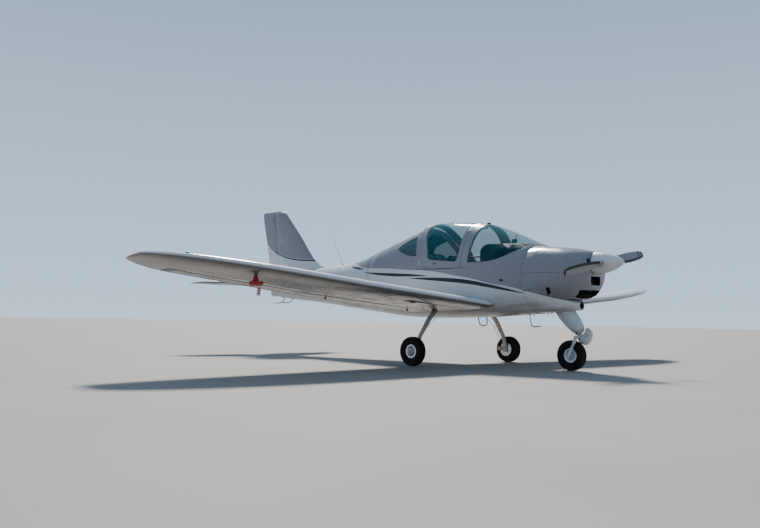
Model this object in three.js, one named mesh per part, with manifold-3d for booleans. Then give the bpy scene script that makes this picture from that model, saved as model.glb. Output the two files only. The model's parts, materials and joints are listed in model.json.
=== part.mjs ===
// Low-wing two-seat light aircraft parked on its fixed tricycle gear.
// Millimetres. +X forward, +Y port, +Z up, z = 0 under the tyres, x = 0 midway between
// the spinner's tip and the rudder's top corner.

import * as THREE from 'three';
import Module from 'manifold-3d';
import { mergeVertices } from 'three/addons/utils/BufferGeometryUtils.js';

const wasm = await Module();
wasm.setup();

// Driving dimensions
const GAP = 0.5;
const AXLE_X = 1130;
const FAR = 9000;

const RING_POINTS = 32;
const AIRFOIL_POINTS = 10;
const ROUND_SIDES = 16;

const FIREWALL_X = 2450;
const FIREWALL_THICKNESS = 50;
const BULKHEAD_X = -370;
const BULKHEAD_THICKNESS = 30;
const CABIN_WALL = 40;
const TAIL_WALL = 14;
const SILL_Z = 1282;
const LEDGE_Z = 1276;
const SILL_CLEARANCE = 6;

const CANOPY_REAR = [
  [688, SILL_Z], [694, 1304], [730, 1316], [768, 1336], [743, 1490], [705, 1610], [640, 1745], [560, 2000],
];
const DECK_GAP = 4;
const CABIN_FRAME = [[764, SILL_Z], [739, 1490], [701, 1610], [636, 1745], [556, 2000]];
const CABIN_FRAME_THICKNESS = 22;
const CABIN_FRAME_DEPTH = 130;
const CANOPY_WALL = 22;
const DECK_INSET = 29;
const GLASS_OUTER = 3;
const GLASS_INNER = 8;
const HOOP_SPLIT = [[1500, SILL_Z], [1508, 1600], [1500, 2100]];
const HOOP_WIDTH_FORE = 113;

const THRUST_Z = 1312;
const COWL_FRONT_X = 3170;
const COWL_WALL = 14;
const COWL_SPLIT_Z = 1186;
const SPINNER_BACK_X = 3180;
const SPINNER_TIP_X = 3552;
const SPINNER_RADIUS = 134;
const PROP_X = 3312;
const PROP_RADIUS = 930;
const PROP_TILT = 0.18;

const TYRE_RADIUS = 187.5;
const MAIN_TYRE_WIDTH = 125;
const NOSE_TYRE_WIDTH = 118;
const MAIN_WHEEL_Y = 1030;
const RIM_RADIUS = 89;
const NOSE_AXLE_X = AXLE_X + 1710;
const AXLE_RADIUS = 15;
const STEER_TOP = new THREE.Vector3(2828, 0, 720);
const STEER_LOW = new THREE.Vector3(2948, 0, 450);

const SEAT_Y = 258;
const SEAT_HALF_WIDTH = 200;
const PITOT_Z = 940;

const HINGE_CLEARANCE = 9;
const SURFACE_END_GAP = 11;

// Materials
const paint = (color, roughness = 0.35) => new THREE.MeshStandardMaterial({ color, roughness, metalness: 0 });
const metal = (color, roughness = 0.4) => (
  new THREE.MeshStandardMaterial({ color, roughness, metalness: 0.9 }));
const WHITE = 0xe4e7ea;
const TEAL_GLASS = 0x7fb0b4;
const DARK = 0x1c1f22;
const SEAT_TEAL = 0x1f4a50;
const RED = 0x8e1420;

const SIDES = [['port', 1], ['starboard', -1]];

const airplane = new THREE.Group();

function add(name, shape, material) {
  const geometry = shape.isBufferGeometry ? shape : toGeometry(shape);
  const mesh = new THREE.Mesh(geometry, material);
  mesh.name = name;
  airplane.add(mesh);
  return mesh;
}

// Solids and booleans
function toSolid(geometry) {
  const bare = geometry.clone();
  bare.deleteAttribute('normal');
  bare.deleteAttribute('uv');
  const merged = mergeVertices(bare, 1e-3);
  return new wasm.Manifold(new wasm.Mesh({
    numProp: 3,
    vertProperties: new Float32Array(merged.attributes.position.array),
    triVerts: new Uint32Array(merged.index.array),
  }));
}

function toGeometry(solid) {
  const mesh = solid.getMesh();
  const geometry = new THREE.BufferGeometry();
  geometry.setAttribute('position', new THREE.BufferAttribute(new Float32Array(mesh.vertProperties), 3));
  geometry.setIndex(new THREE.BufferAttribute(new Uint32Array(mesh.triVerts), 1));
  return geometry;
}

function signedVolume(positions, triangles) {
  let volume = 0;
  const corner = [new THREE.Vector3(), new THREE.Vector3(), new THREE.Vector3()];
  for (let t = 0; t < triangles.length; t += 3) {
    corner.forEach((point, k) => point.fromArray(positions, 3 * triangles[t + k]));
    volume += corner[0].dot(corner[1].clone().cross(corner[2]));
  }
  return volume;
}

function capTriangles(ring) {
  const box = new THREE.Box3().setFromPoints(ring);
  const size = box.getSize(new THREE.Vector3());
  const axes = ['x', 'y', 'z'].sort((a, b) => size[b] - size[a]).slice(0, 2);
  const flat = ring.map((p) => new THREE.Vector2(p[axes[0]], p[axes[1]]));
  const turn = Math.sign(THREE.ShapeUtils.area(flat));
  return THREE.ShapeUtils.triangulateShape(flat, []).map((face) => {
    const area = THREE.ShapeUtils.area(face.map((i) => flat[i]));
    return Math.sign(area) === turn ? face : [face[0], face[2], face[1]];
  });
}

function loft(rings) {
  const count = rings[0].length;
  const positions = rings.flat().flatMap((p) => [p.x, p.y, p.z]);
  const triangles = [];
  for (let r = 0; r < rings.length - 1; r += 1) {
    for (let i = 0; i < count; i += 1) {
      const a = r * count + i;
      const b = r * count + ((i + 1) % count);
      triangles.push(a, b, b + count, a, b + count, a + count);
    }
  }
  capTriangles(rings[0]).forEach(([a, b, c]) => triangles.push(a, c, b));
  const last = (rings.length - 1) * count;
  capTriangles(rings.at(-1)).forEach((face) => triangles.push(...face.map((i) => i + last)));
  if (signedVolume(positions, triangles) < 0) {
    triangles.reverse();
  }
  const geometry = new THREE.BufferGeometry();
  geometry.setAttribute('position', new THREE.Float32BufferAttribute(positions, 3));
  geometry.setIndex(triangles);
  return toSolid(geometry);
}

function box(x0, x1, y0, y1, z0, z1) {
  const geometry = new THREE.BoxGeometry(x1 - x0, y1 - y0, z1 - z0);
  geometry.translate((x0 + x1) / 2, (y0 + y1) / 2, (z0 + z1) / 2);
  return toSolid(geometry);
}

// Prism of a side-view outline, points [x, z], between two y values
function sidePrism(points, y0 = -FAR, y1 = FAR) {
  const shape = new THREE.Shape(points.map(([x, z]) => new THREE.Vector2(x, z)));
  const geometry = new THREE.ExtrudeGeometry(shape, { depth: y1 - y0, bevelEnabled: false });
  geometry.rotateX(Math.PI / 2);
  geometry.translate(0, y1, 0);
  return toSolid(geometry);
}

// Prism of a plan-view outline, points [x, y], between two z values
function planPrism(points, z0 = -FAR, z1 = FAR) {
  const shape = new THREE.Shape(points.map(([x, y]) => new THREE.Vector2(x, y)));
  const geometry = new THREE.ExtrudeGeometry(shape, { depth: z1 - z0, bevelEnabled: false });
  geometry.translate(0, 0, z0);
  return toSolid(geometry);
}

function rod(from, to, r0, r1 = r0, sides = ROUND_SIDES) {
  const along = to.clone().sub(from);
  const geometry = new THREE.CylinderGeometry(r1, r0, along.length(), sides);
  geometry.applyQuaternion(new THREE.Quaternion().setFromUnitVectors(
    new THREE.Vector3(0, 1, 0), along.clone().normalize()));
  geometry.translate(...from.clone().add(to).multiplyScalar(0.5).toArray());
  return toSolid(geometry);
}

const at = (x, y, z) => new THREE.Vector3(x, y, z);

function tubePath(points, radius, steps, sides = 8) {
  const section = new THREE.Shape();
  section.setFromPoints(Array.from({ length: sides }, (_, i) => new THREE.Vector2(
    radius * Math.cos((2 * Math.PI * i) / sides), radius * Math.sin((2 * Math.PI * i) / sides))));
  const path = new THREE.CatmullRomCurve3(points, false, 'centripetal');
  return toSolid(new THREE.ExtrudeGeometry(section, {
    steps, extrudePath: path, bevelEnabled: false,
  }));
}

function unite(solids) {
  return solids.reduce((sum, next) => sum.add(next));
}

// Interpolates a table's row at x. Rows are [x, ...values] in falling x.
function rowAt(table, x) {
  let k = table.findIndex((row) => row[0] <= x);
  if (k < 0) k = table.length - 1;
  if (k === 0) k = 1;
  const [p0, p1] = [table[k - 1], table[k]];
  const before = table[Math.max(k - 2, 0)];
  const after = table[Math.min(k + 1, table.length - 1)];
  const t = (x - p0[0]) / (p1[0] - p0[0]);
  return p0.slice(1).map((value, c) => {
    const i = c + 1;
    const slope = (a, b) => (b[0] === a[0] ? 0 : (b[i] - a[i]) / (b[0] - a[0]));
    const own = slope(p0, p1);
    const steepest = 3 * Math.abs(own);
    const limit = (m) => (own === 0 || m * own <= 0 ? 0 : Math.sign(own) * Math.min(Math.abs(m), steepest));
    const m0 = limit(before === p0 ? own : (slope(before, p0) + own) / 2) * (p1[0] - p0[0]);
    const m1 = limit(after === p1 ? own : (own + slope(p1, after)) / 2) * (p1[0] - p0[0]);
    const t2 = t * t;
    const t3 = t2 * t;
    return (2 * t3 - 3 * t2 + 1) * value + (t3 - 2 * t2 + t) * m0
      + (3 * t2 - 2 * t3) * p1[i] + (t3 - t2) * m1;
  });
}

// Body section: two half superellipses on one waterline
function bodyRing(table, x, inset) {
  const [bottom, waist, top, half, lowPower, highPower] = rowAt(table, x);
  const ring = [];
  for (let i = 0; i < RING_POINTS; i += 1) {
    const angle = (2 * Math.PI * i) / RING_POINTS;
    const c = Math.cos(angle);
    const s = Math.sin(angle);
    const power = s >= 0 ? highPower : lowPower;
    const rise = s >= 0 ? top - inset - waist : waist - bottom - inset;
    ring.push(at(
      x,
      (half - inset) * Math.sign(c) * Math.abs(c) ** (2 / power),
      waist + rise * Math.sign(s) * Math.abs(s) ** (2 / power),
    ));
  }
  return ring;
}

function bodyLoft(table, stations, inset = 0) {
  const insetAt = typeof inset === 'function' ? inset : () => inset;
  return loft(stations.map((x) => bodyRing(table, x, insetAt(x))));
}

// Outer form from firewall to rudder post, canopy included.
// Columns: x, bottom, waist, top, half width, lower power, upper power
const HULL = [
  [2450, 700, 1110, 1556, 498, 2.7, 2.7],
  [2385, 695, 1105, 1588, 508, 2.7, 2.6],
  [2050, 670, 1080, 1742, 540, 2.7, 2.35],
  [1710, 650, 1062, 1868, 562, 2.7, 2.3],
  [1350, 638, 1055, 1940, 572, 2.7, 2.3],
  [970, 628, 1052, 1970, 570, 2.7, 2.3],
  [580, 626, 1056, 1948, 558, 2.6, 2.25],
  [170, 640, 1066, 1830, 532, 2.6, 2.2],
  [-370, 692, 1088, 1642, 470, 2.4, 2.15],
  [-720, 727, 1104, 1530, 418, 2.3, 2.1],
  [-1150, 772, 1124, 1462, 352, 2.2, 2.1],
  [-1800, 846, 1146, 1424, 258, 2.1, 2.1],
  [-2500, 902, 1158, 1396, 164, 2.1, 2.1],
  [-2860, 936, 1162, 1368, 108, 2.2, 2.2],
  [-3080, 952, 1164, 1344, 76, 2.3, 2.3],
];
const CABIN_STATIONS = [
  2450, 2385, 2280, 2160, 2050, 1880, 1710, 1530, 1350, 1160, 970, 780, 580, 380, 170, -100, -370,
];
const INNER_STATIONS = [2450, 2160, 1710, 970, 400, -370];
const TAIL_STATIONS = [-370, -540, -720, -930, -1150, -1470, -1800, -2150, -2500, -2860, -3080];
const TAIL_INNER_STATIONS = [-370, -540, -720, -930, -1150, -1800, -2500, -2860];

// Engine cowling. Same columns
const COWL = [
  [3170, 970, 1200, 1442, 226, 2.0, 2.3],
  [3130, 930, 1192, 1462, 286, 1.95, 2.4],
  [3060, 889, 1182, 1480, 362, 2.25, 2.5],
  [2900, 852, 1162, 1506, 438, 2.6, 2.6],
  [2700, 790, 1132, 1532, 476, 2.7, 2.7],
  [2450, 700, 1110, 1556, 498, 2.7, 2.7],
];
const COWL_STATIONS = [3170, 3150, 3130, 3060, 2980, 2900, 2700, 2580, 2450];

// Fairing below the cowling, ending in the round mouth of a cooling duct. Same columns
const FAIRING = [
  [2983, 740, 800, 860, 60, 2.0, 2.0],
  [2940, 738, 812, 872, 106, 2.1, 2.0],
  [2870, 735, 846, 938, 208, 2.2, 2.2],
  [2750, 724, 900, 1010, 356, 2.4, 2.4],
  [2600, 711, 960, 1080, 456, 2.6, 2.6],
  [2450, 700, 1110, 1556, 498, 2.7, 2.7],
];
const FAIRING_STATIONS = [2983, 2940, 2870, 2820, 2750, 2680, 2600, 2520, 2450];
const COWL_LOWER_EDGE = [[2450, 972], [2640, 948], [2740, 914], [2900, 876], [3012, 873.5], [FAR, 873]];
const DUCT_MOUTH_X = 2983;
const DUCT_MOUTH_Z = 800;
const DUCT_MOUTH_RADIUS = 46;
const DUCT_MOUTH_DEPTH = 90;

function aboveLine(line, lift = 0) {
  const raised = line.map(([x, z]) => [x, z + lift]);
  return sidePrism([...raised, [raised.at(-1)[0], FAR], [raised[0][0], FAR]]);
}

const hullSolid = bodyLoft(HULL, CABIN_STATIONS);
const hullGrown = bodyLoft(HULL, CABIN_STATIONS, -GAP);
const BAGGAGE_END_X = BULKHEAD_X + BULKHEAD_THICKNESS;
const FIREWALL_FACE_X = FIREWALL_X - FIREWALL_THICKNESS;
const FITTING_GAP = 2;
const cabinSpace = bodyLoft(HULL, INNER_STATIONS, CABIN_WALL)
  .intersect(box(BAGGAGE_END_X, FIREWALL_FACE_X, -FAR, FAR, 0, FAR));
const inCabin = (solid) => solid.intersect(bodyLoft(HULL, INNER_STATIONS, CABIN_WALL + FITTING_GAP))
  .intersect(box(BAGGAGE_END_X + FITTING_GAP, FIREWALL_FACE_X - FITTING_GAP, -FAR, FAR, 0, FAR));

// Glazing lines in side view
const WINDSCREEN_BASE = [
  [1100, 1348], [1618, 1350], [1894, 1353], [2065, 1381], [2215, 1441], [2335, 1508], [2392, 1562],
  [2392, 2600], [1100, 2600],
];
const windscreenRegion = sidePrism(WINDSCREEN_BASE);
const shifted = (line, shift) => [
  [line[0][0] + shift, 0], ...line.map(([x, z]) => [x + shift, z]), [line.at(-1)[0] + shift, FAR],
];
const aftOfLine = (line, shift) => sidePrism([...shifted(line, shift), [-FAR, FAR], [-FAR, 0]]);
const foreOfLine = (line, shift) => sidePrism([...shifted(line, shift), [FAR, FAR], [FAR, 0]]);

// The main legs come early, because the wings are cut for them
const LEG_FOOT_Y = 944;
const LEG = [
  // y, z, fore-and-aft width, thickness
  [560, 762, 94, 30],
  [640, 683, 90, 29],
  [735, 590, 84, 27],
  [812, 490, 78, 25],
  [893, 385, 70, 22],
  [930, 300, 64, 20],
  [LEG_FOOT_Y, 205, 62, 20],
];

function legRing(y, z, width, thickness, tilt) {
  const ring = [];
  for (let i = 0; i < 12; i += 1) {
    const angle = (2 * Math.PI * i) / 12;
    const along = (width / 2) * Math.sign(Math.cos(angle)) * Math.abs(Math.cos(angle)) ** 0.6;
    const across = (thickness / 2) * Math.sign(Math.sin(angle)) * Math.abs(Math.sin(angle)) ** 0.6;
    ring.push(at(AXLE_X + along, y + across * Math.cos(tilt), z + across * Math.sin(tilt)));
  }
  return ring;
}

function mainLegStrut(side, grow = 0) {
  const rings = LEG.map(([y, z, width, thickness], k) => {
    const before = LEG[Math.max(k - 1, 0)];
    const after = LEG[Math.min(k + 1, LEG.length - 1)];
    const tilt = Math.atan2(after[0] - before[0], before[1] - after[1]);
    const end = k === 0 ? grow : 0;
    return legRing(y - end, z + end, width + 2 * grow, thickness + 2 * grow, tilt)
      .map((p) => at(p.x, side * p.y, p.z));
  });
  return loft(rings);
}

// Arched frame behind the seats, open in the middle for the baggage
const FRAME_HATCH_Z = 845;
const cabinFrame = foreOfLine(CABIN_FRAME, -CABIN_FRAME_THICKNESS).intersect(aftOfLine(CABIN_FRAME, 0))
  .subtract(bodyLoft(HULL, CABIN_STATIONS, CABIN_FRAME_DEPTH)
    .intersect(box(-FAR, FAR, -FAR, FAR, FRAME_HATCH_Z, FAR)));

// Fuselage
const canopySpace = aftOfLine(HOOP_SPLIT, HOOP_WIDTH_FORE + GAP)
  .intersect(box(BULKHEAD_X - 10, FAR, -FAR, FAR, LEDGE_Z, FAR));
const hullBelowSill = hullSolid.subtract(cabinSpace)
  .subtract(windscreenRegion)
  .subtract(canopySpace)
  .add(hullSolid.intersect(cabinFrame).intersect(box(-FAR, FAR, -FAR, FAR, 0, LEDGE_Z)));
add('fuselage_cabin', hullBelowSill, paint(WHITE));

// Rear deck: inset behind the sliding canopy, flush again at the bulkhead
const deckInset = (x) => DECK_INSET * Math.min(1, Math.max(0, (x - BULKHEAD_X) / 500));
const DECK_STATIONS = [780, 580, 380, 170, 30, -100, -240, -370];
const REAR_WINDOW = [
  [218, 1600], [232, 1620], [300, 1680], [420, 1726], [545, 1760], [561, 1752],
  [655, 1492], [645, 1479], [560, 1484], [430, 1512], [320, 1552], [228, 1592],
];
const DECK_FLOOR_Z = LEDGE_Z + GAP;
const deckOuter = bodyLoft(HULL, DECK_STATIONS, deckInset);
const deckInner = bodyLoft(HULL, CABIN_STATIONS, CABIN_WALL + 1)
  .intersect(box(BAGGAGE_END_X, FAR, -FAR, FAR, 0, FAR));
const rearWindowPrism = sidePrism(REAR_WINDOW);
const deck = deckOuter.subtract(deckInner)
  .subtract(rearWindowPrism)
  .intersect(aftOfLine(CANOPY_REAR, -DECK_GAP))
  .add(deckOuter.intersect(cabinFrame))
  .intersect(box(-FAR, FAR, -FAR, FAR, DECK_FLOOR_Z, FAR));
add('rear_deck', deck, paint(WHITE));

const PANE_SHRINK = 0.005;
const paneOutline = (outline, [x0, z0]) => sidePrism(
  outline.map(([x, z]) => [x + (x0 - x) * PANE_SHRINK, z + (z0 - z) * PANE_SHRINK]));
const REAR_PANE_OUTER = 2;
const REAR_PANE_INNER = 7;
const rearWindows = bodyLoft(HULL, DECK_STATIONS, (x) => deckInset(x) + REAR_PANE_OUTER)
  .subtract(bodyLoft(HULL, DECK_STATIONS, (x) => deckInset(x) + REAR_PANE_INNER))
  .intersect(paneOutline(REAR_WINDOW, [450, 1600]));
SIDES.forEach(([name, side]) => {
  const half = box(-FAR, FAR, Math.min(0, side * FAR), Math.max(0, side * FAR), 0, FAR);
  add(`rear_window_${name}`, rearWindows.intersect(half), paint(TEAL_GLASS, 0.1));
});

// Windscreen and its hoop
const screenShell = bodyLoft(HULL, CABIN_STATIONS, GLASS_OUTER)
  .subtract(bodyLoft(HULL, CABIN_STATIONS, GLASS_INNER));
const windscreen = screenShell.intersect(paneOutline(WINDSCREEN_BASE, [1900, 1800]))
  .intersect(foreOfLine(HOOP_SPLIT, HOOP_WIDTH_FORE + GAP));
add('windscreen', windscreen, paint(TEAL_GLASS, 0.08));

const HOOP_WALL = 30;
const hoopShell = hullSolid.subtract(bodyLoft(HULL, CABIN_STATIONS, HOOP_WALL));
const hoop = hoopShell.intersect(foreOfLine(HOOP_SPLIT, SILL_CLEARANCE / 2))
  .intersect(aftOfLine(HOOP_SPLIT, HOOP_WIDTH_FORE))
  .intersect(box(-FAR, FAR, -FAR, FAR, SILL_Z, FAR));
add('windscreen_hoop', hoop, paint(WHITE));

// Sliding canopy
const canopyShell = hullSolid.subtract(bodyLoft(HULL, CABIN_STATIONS, CANOPY_WALL));
const canopyAll = canopyShell.intersect(aftOfLine(HOOP_SPLIT, -SILL_CLEARANCE / 2))
  .intersect(foreOfLine(CANOPY_REAR, 0))
  .intersect(box(0, FAR, -FAR, FAR, SILL_Z + SILL_CLEARANCE / 2, FAR));
const CANOPY_OPENING = [
  [912, 1460], [935, 1425], [975, 1411], [1395, 1370], [1425, 1378], [1440, 1410], [1448, 1500], [1448, 2300],
  [690, 2300], [722, 1900], [778, 1754], [868, 1584],
];
add('canopy_frame', canopyAll.subtract(sidePrism(CANOPY_OPENING)), paint(WHITE));
const canopyGlass = screenShell.intersect(paneOutline(CANOPY_OPENING, [1170, 1650]));
add('canopy_glass', canopyGlass, paint(TEAL_GLASS, 0.08));

// Cowling, fairing and engine
const cowlOuter = bodyLoft(COWL, COWL_STATIONS).intersect(aboveLine(COWL_LOWER_EDGE))
  .intersect(box(FIREWALL_X + GAP, FAR, -FAR, FAR, 0, FAR));
const cowlInner = bodyLoft(COWL, COWL_STATIONS, COWL_WALL)
  .intersect(box(0, COWL_FRONT_X - 24, -FAR, FAR, 0, FAR));
// One air intake below the spinner, one in the chin, a small scoop on either side of the spinner
const NOSE_INTAKE = [[-96, 1042], [96, 1042], [108, 1062], [106, 1150], [-106, 1150], [-108, 1062]];
const noseIntake = loft([3090, 3300].map((x) => NOSE_INTAKE.map(([y, z]) => at(x, y, z))));
const chinIntake = planPrism([[2985, -188], [3300, -300], [3300, 300], [2985, 188]], 820, 982);
const SCOOP_Y = 160;
const noseScoops = unite([-1, 1].map((side) => box(
  3120, 3300, side * SCOOP_Y - 36, side * SCOOP_Y + 36, 1312, 1358)));
const OUTLET_Y = 440;
const outletSlots = unite([-1, 1].map((side) => box(
  2759, 2806, side * OUTLET_Y - 60, side * OUTLET_Y + 60, 910, 1008)));
const shaftHole = rod(at(3000, 0, THRUST_Z), at(3400, 0, THRUST_Z), 66);
const cowl = cowlOuter.subtract(cowlInner)
  .subtract(noseIntake)
  .subtract(chinIntake)
  .subtract(noseScoops)
  .subtract(outletSlots)
  .subtract(shaftHole);
add('cowl_upper', cowl.intersect(box(-FAR, FAR, -FAR, FAR, COWL_SPLIT_Z + GAP / 2, FAR)), paint(WHITE));
add('cowl_lower', cowl.intersect(box(-FAR, FAR, -FAR, FAR, -FAR, COWL_SPLIT_Z - GAP / 2)), paint(WHITE));

const noseLegBay = rod(STEER_TOP.clone().lerp(STEER_LOW, -0.25), STEER_LOW, 34);
const fairing = bodyLoft(FAIRING, FAIRING_STATIONS)
  .subtract(aboveLine(COWL_LOWER_EDGE, -GAP))
  .intersect(box(FIREWALL_X + GAP, FAR, -FAR, FAR, 0, FAR))
  .subtract(rod(
    at(DUCT_MOUTH_X - DUCT_MOUTH_DEPTH, 0, DUCT_MOUTH_Z), at(DUCT_MOUTH_X + 90, 0, DUCT_MOUTH_Z), DUCT_MOUTH_RADIUS))
  .subtract(noseLegBay);
add('belly_fairing', fairing, paint(WHITE));

const engine = box(2520, 3050, -340, 340, 985, 1400)
  .intersect(bodyLoft(COWL, COWL_STATIONS, COWL_WALL + 12))
  .add(rod(at(3040, 0, THRUST_Z), at(PROP_X - 52, 0, THRUST_Z), 48));
add('engine_block', engine, metal(0x6a6d70, 0.6));

// Propeller and spinner
const BLADE = [
  // radius, chord, thickness, pitch in degrees
  [62, 64, 46, 58],
  [150, 96, 34, 47],
  [300, 128, 22, 35],
  [560, 134, 15, 23],
  [800, 112, 10, 17],
  [905, 82, 7, 15],
  [PROP_RADIUS, 36, 4, 14],
];
function blade() {
  const rings = BLADE.map(([radius, chord, thickness, pitch]) => {
    const angle = THREE.MathUtils.degToRad(pitch);
    const ring = [];
    for (let i = 0; i < 14; i += 1) {
      const a = (2 * Math.PI * i) / 14;
      const along = (chord / 2) * Math.cos(a);
      const across = (thickness / 2) * Math.sin(a) * (1 + 0.35 * Math.cos(a));
      ring.push(at(
        PROP_X + along * Math.sin(angle) + across * Math.cos(angle),
        radius,
        -along * Math.cos(angle) + across * Math.sin(angle),
      ));
    }
    return ring;
  });
  return rings;
}
const turned = (rings, angle) => rings.map((ring) => ring.map((p) => at(
  p.x,
  p.y * Math.cos(angle) - p.z * Math.sin(angle),
  THRUST_Z + p.y * Math.sin(angle) + p.z * Math.cos(angle),
)));
const blades = [PROP_TILT, PROP_TILT + Math.PI].map((angle) => loft(turned(blade(), angle)));
const hub = rod(at(PROP_X - 50, 0, THRUST_Z), at(PROP_X + 50, 0, THRUST_Z), 72);
add('propeller', unite([hub, ...blades]), paint(0xd9dcdc));

const SPINNER_PROFILE = [
  // x from the back plate, radius, as a share of the length and the base radius
  [0, 1], [0.2, 0.985], [0.4, 0.9], [0.6, 0.73], [0.78, 0.51], [0.92, 0.27], [0.985, 0.11], [1, 0],
];
const SPINNER_WALL = 7;
const SPINNER_INNER_SKIPPED = [1, 6];
function spinnerProfile(inset) {
  const length = SPINNER_TIP_X - SPINNER_BACK_X;
  return SPINNER_PROFILE.map(([x, r]) => new THREE.Vector2(
    Math.max(r * SPINNER_RADIUS - inset, 0), x * (length - inset)));
}
const spinnerOuter = spinnerProfile(0);
const spinnerInner = spinnerProfile(SPINNER_WALL).filter((_, i) => !SPINNER_INNER_SKIPPED.includes(i)).reverse();
const spinnerLathe = new THREE.LatheGeometry([...spinnerOuter, ...spinnerInner, spinnerOuter[0]], 24);
spinnerLathe.rotateZ(-Math.PI / 2);
spinnerLathe.translate(SPINNER_BACK_X, 0, THRUST_Z);
const bladeHoles = unite([0, Math.PI].map((turn) => {
  const angle = PROP_TILT + turn;
  const way = at(0, Math.cos(angle), Math.sin(angle));
  const start = at(PROP_X, 0, THRUST_Z);
  return rod(start.clone().addScaledVector(way, 60), start.clone().addScaledVector(way, 200), 52);
}));
add('spinner', toSolid(spinnerLathe).subtract(bladeHoles), paint(WHITE, 0.25));

// Lifting surfaces
const thicknessAt = (t) => 5 * (
  0.2969 * Math.sqrt(t) - 0.126 * t - 0.3516 * t ** 2 + 0.2843 * t ** 3 - 0.1036 * t ** 4);

// Airfoil outline in chord fractions, from the trailing edge over the top and back below
function airfoil(thickness, camber) {
  const points = [];
  const camberAt = (t) => (t < 0.4
    ? (camber / 0.16) * (0.8 * t - t * t)
    : (camber / 0.36) * (0.2 + 0.8 * t - t * t));
  const share = (i) => (1 + Math.cos((Math.PI * i) / AIRFOIL_POINTS)) / 2;
  for (let i = 0; i <= AIRFOIL_POINTS; i += 1) {
    const t = share(i);
    points.push([t, camberAt(t) + thickness * thicknessAt(t) + (i === 0 ? 0.0015 : 0)]);
  }
  for (let i = AIRFOIL_POINTS - 1; i >= 0; i -= 1) {
    const t = share(i);
    points.push([t, camberAt(t) - thickness * thicknessAt(t) - (i === 0 ? 0.0015 : 0)]);
  }
  return points;
}

// Columns: span, leading and trailing edge x, leading and trailing edge z, thickness, camber
const WING = [
  [400, 2012, 655, 815, 712, 0.108, 0.022],
  [560, 2008, 662, 806, 703, 0.108, 0.022],
  [1700, 1984, 684, 899, 793, 0.110, 0.022],
  [2760, 1932, 705, 986, 877, 0.112, 0.022],
  [3300, 1868, 716, 1041, 934, 0.114, 0.022],
  [3700, 1797, 724, 1082, 976, 0.116, 0.022],
  [4050, 1706, 731, 1118, 1013, 0.118, 0.022],
  [4350, 1602, 738, 1149, 1044, 0.120, 0.022],
  [4560, 1502, 745, 1170, 1072, 0.122, 0.021],
  [4720, 1410, 756, 1183, 1106, 0.118, 0.018],
  [4840, 1318, 786, 1190, 1138, 0.108, 0.013],
  [4905, 1248, 846, 1193, 1157, 0.092, 0.006],
  [4930, 1196, 946, 1194, 1166, 0.068, 0],
];
const FLAP_SPAN = [640, 2745];
const AILERON_SPAN = [2785, 4480];
const HINGE_SHARE = 0.745;

const mix = (a, b, t) => a + (b - a) * t;
function wingRow(span) {
  const k = Math.max(1, WING.findIndex((row) => row[0] >= span));
  const [a, b] = [WING[k - 1], WING[k]];
  return a.map((value, i) => mix(value, b[i], (span - a[0]) / (b[0] - a[0])));
}
function wingPoint(span, share, height) {
  const [, lead, trail, leadZ, trailZ] = wingRow(span);
  return [mix(lead, trail, share), mix(leadZ, trailZ, share) + (lead - trail) * height];
}
function wingSolid(side) {
  return loft(WING.map(([span, , , , , thickness, camber]) => airfoil(thickness, camber).map(([t, h]) => {
    const [x, z] = wingPoint(span, t, h);
    return at(x, side * span, z);
  })));
}

// Centre and half thickness of the section at the hinge
function hingeAt(span) {
  const [, lead, trail, , , thickness, camber] = wingRow(span);
  const half = (lead - trail) * thickness * thicknessAt(HINGE_SHARE);
  const lift = (camber / 0.36) * (0.2 + 0.8 * HINGE_SHARE - HINGE_SHARE ** 2);
  const [x, z] = wingPoint(span, HINGE_SHARE, lift);
  return { point: [x, span, z], half };
}

// Splits a surface at a hinge: the moving piece has a round nose, the fixed one a cove around it
function splitAtHinge(surface, from, to, halfFrom, halfTo, regionOf) {
  const along = to.clone().sub(from).normalize();
  const longFrom = from.clone().addScaledVector(along, -SURFACE_END_GAP);
  const longTo = to.clone().addScaledVector(along, SURFACE_END_GAP);
  const grown = regionOf(SURFACE_END_GAP);
  const nose = rod(from, to, halfFrom, halfTo, 28);
  const cove = rod(longFrom, longTo, halfFrom + HINGE_CLEARANCE, halfTo + HINGE_CLEARANCE, 28);
  const region = regionOf(0);
  const moving = surface.intersect(region.add(nose));
  return { moving, cutter: grown.add(cove) };
}

function trailingRegion(side, spanFrom, spanTo) {
  return (grow) => {
    const a = hingeAt(spanFrom).point;
    const b = hingeAt(spanTo).point;
    const y0 = side * (a[1] - grow);
    const y1 = side * (b[1] + grow);
    const outline = [[a[0], y0], [b[0], y1], [-FAR, y1], [-FAR, y0]];
    return planPrism(side > 0 ? outline : outline.reverse(), 300, 2000);
  };
}

// Jack pad under each wing's spar, with a flat lower face
const JACK_PAD = { x: 1560, y: 1500, radius: 32, face: 794 };
const jackPadAt = (side, z) => at(JACK_PAD.x, side * JACK_PAD.y, z);
const jackPad = (side) => rod(jackPadAt(side, JACK_PAD.face), jackPadAt(side, JACK_PAD.face + 50), JACK_PAD.radius);

const wings = {};
SIDES.forEach(([name, side]) => {
  const surface = wingSolid(side);
  let fixed = surface.add(jackPad(side)).subtract(hullGrown).subtract(mainLegStrut(side, 2));
  [['flap', FLAP_SPAN], ['aileron', AILERON_SPAN]].forEach(([kind, [spanFrom, spanTo]]) => {
    const [a, b] = [hingeAt(spanFrom), hingeAt(spanTo)];
    const place = ({ point: [x, y, z] }) => at(x, side * y, z);
    const { moving, cutter } = splitAtHinge(
      surface, place(a), place(b), a.half - 1, b.half - 1, trailingRegion(side, spanFrom, spanTo));
    fixed = fixed.subtract(cutter);
    add(`${kind}_${name}`, moving, paint(WHITE));
  });
  wings[name] = fixed;
});

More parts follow.
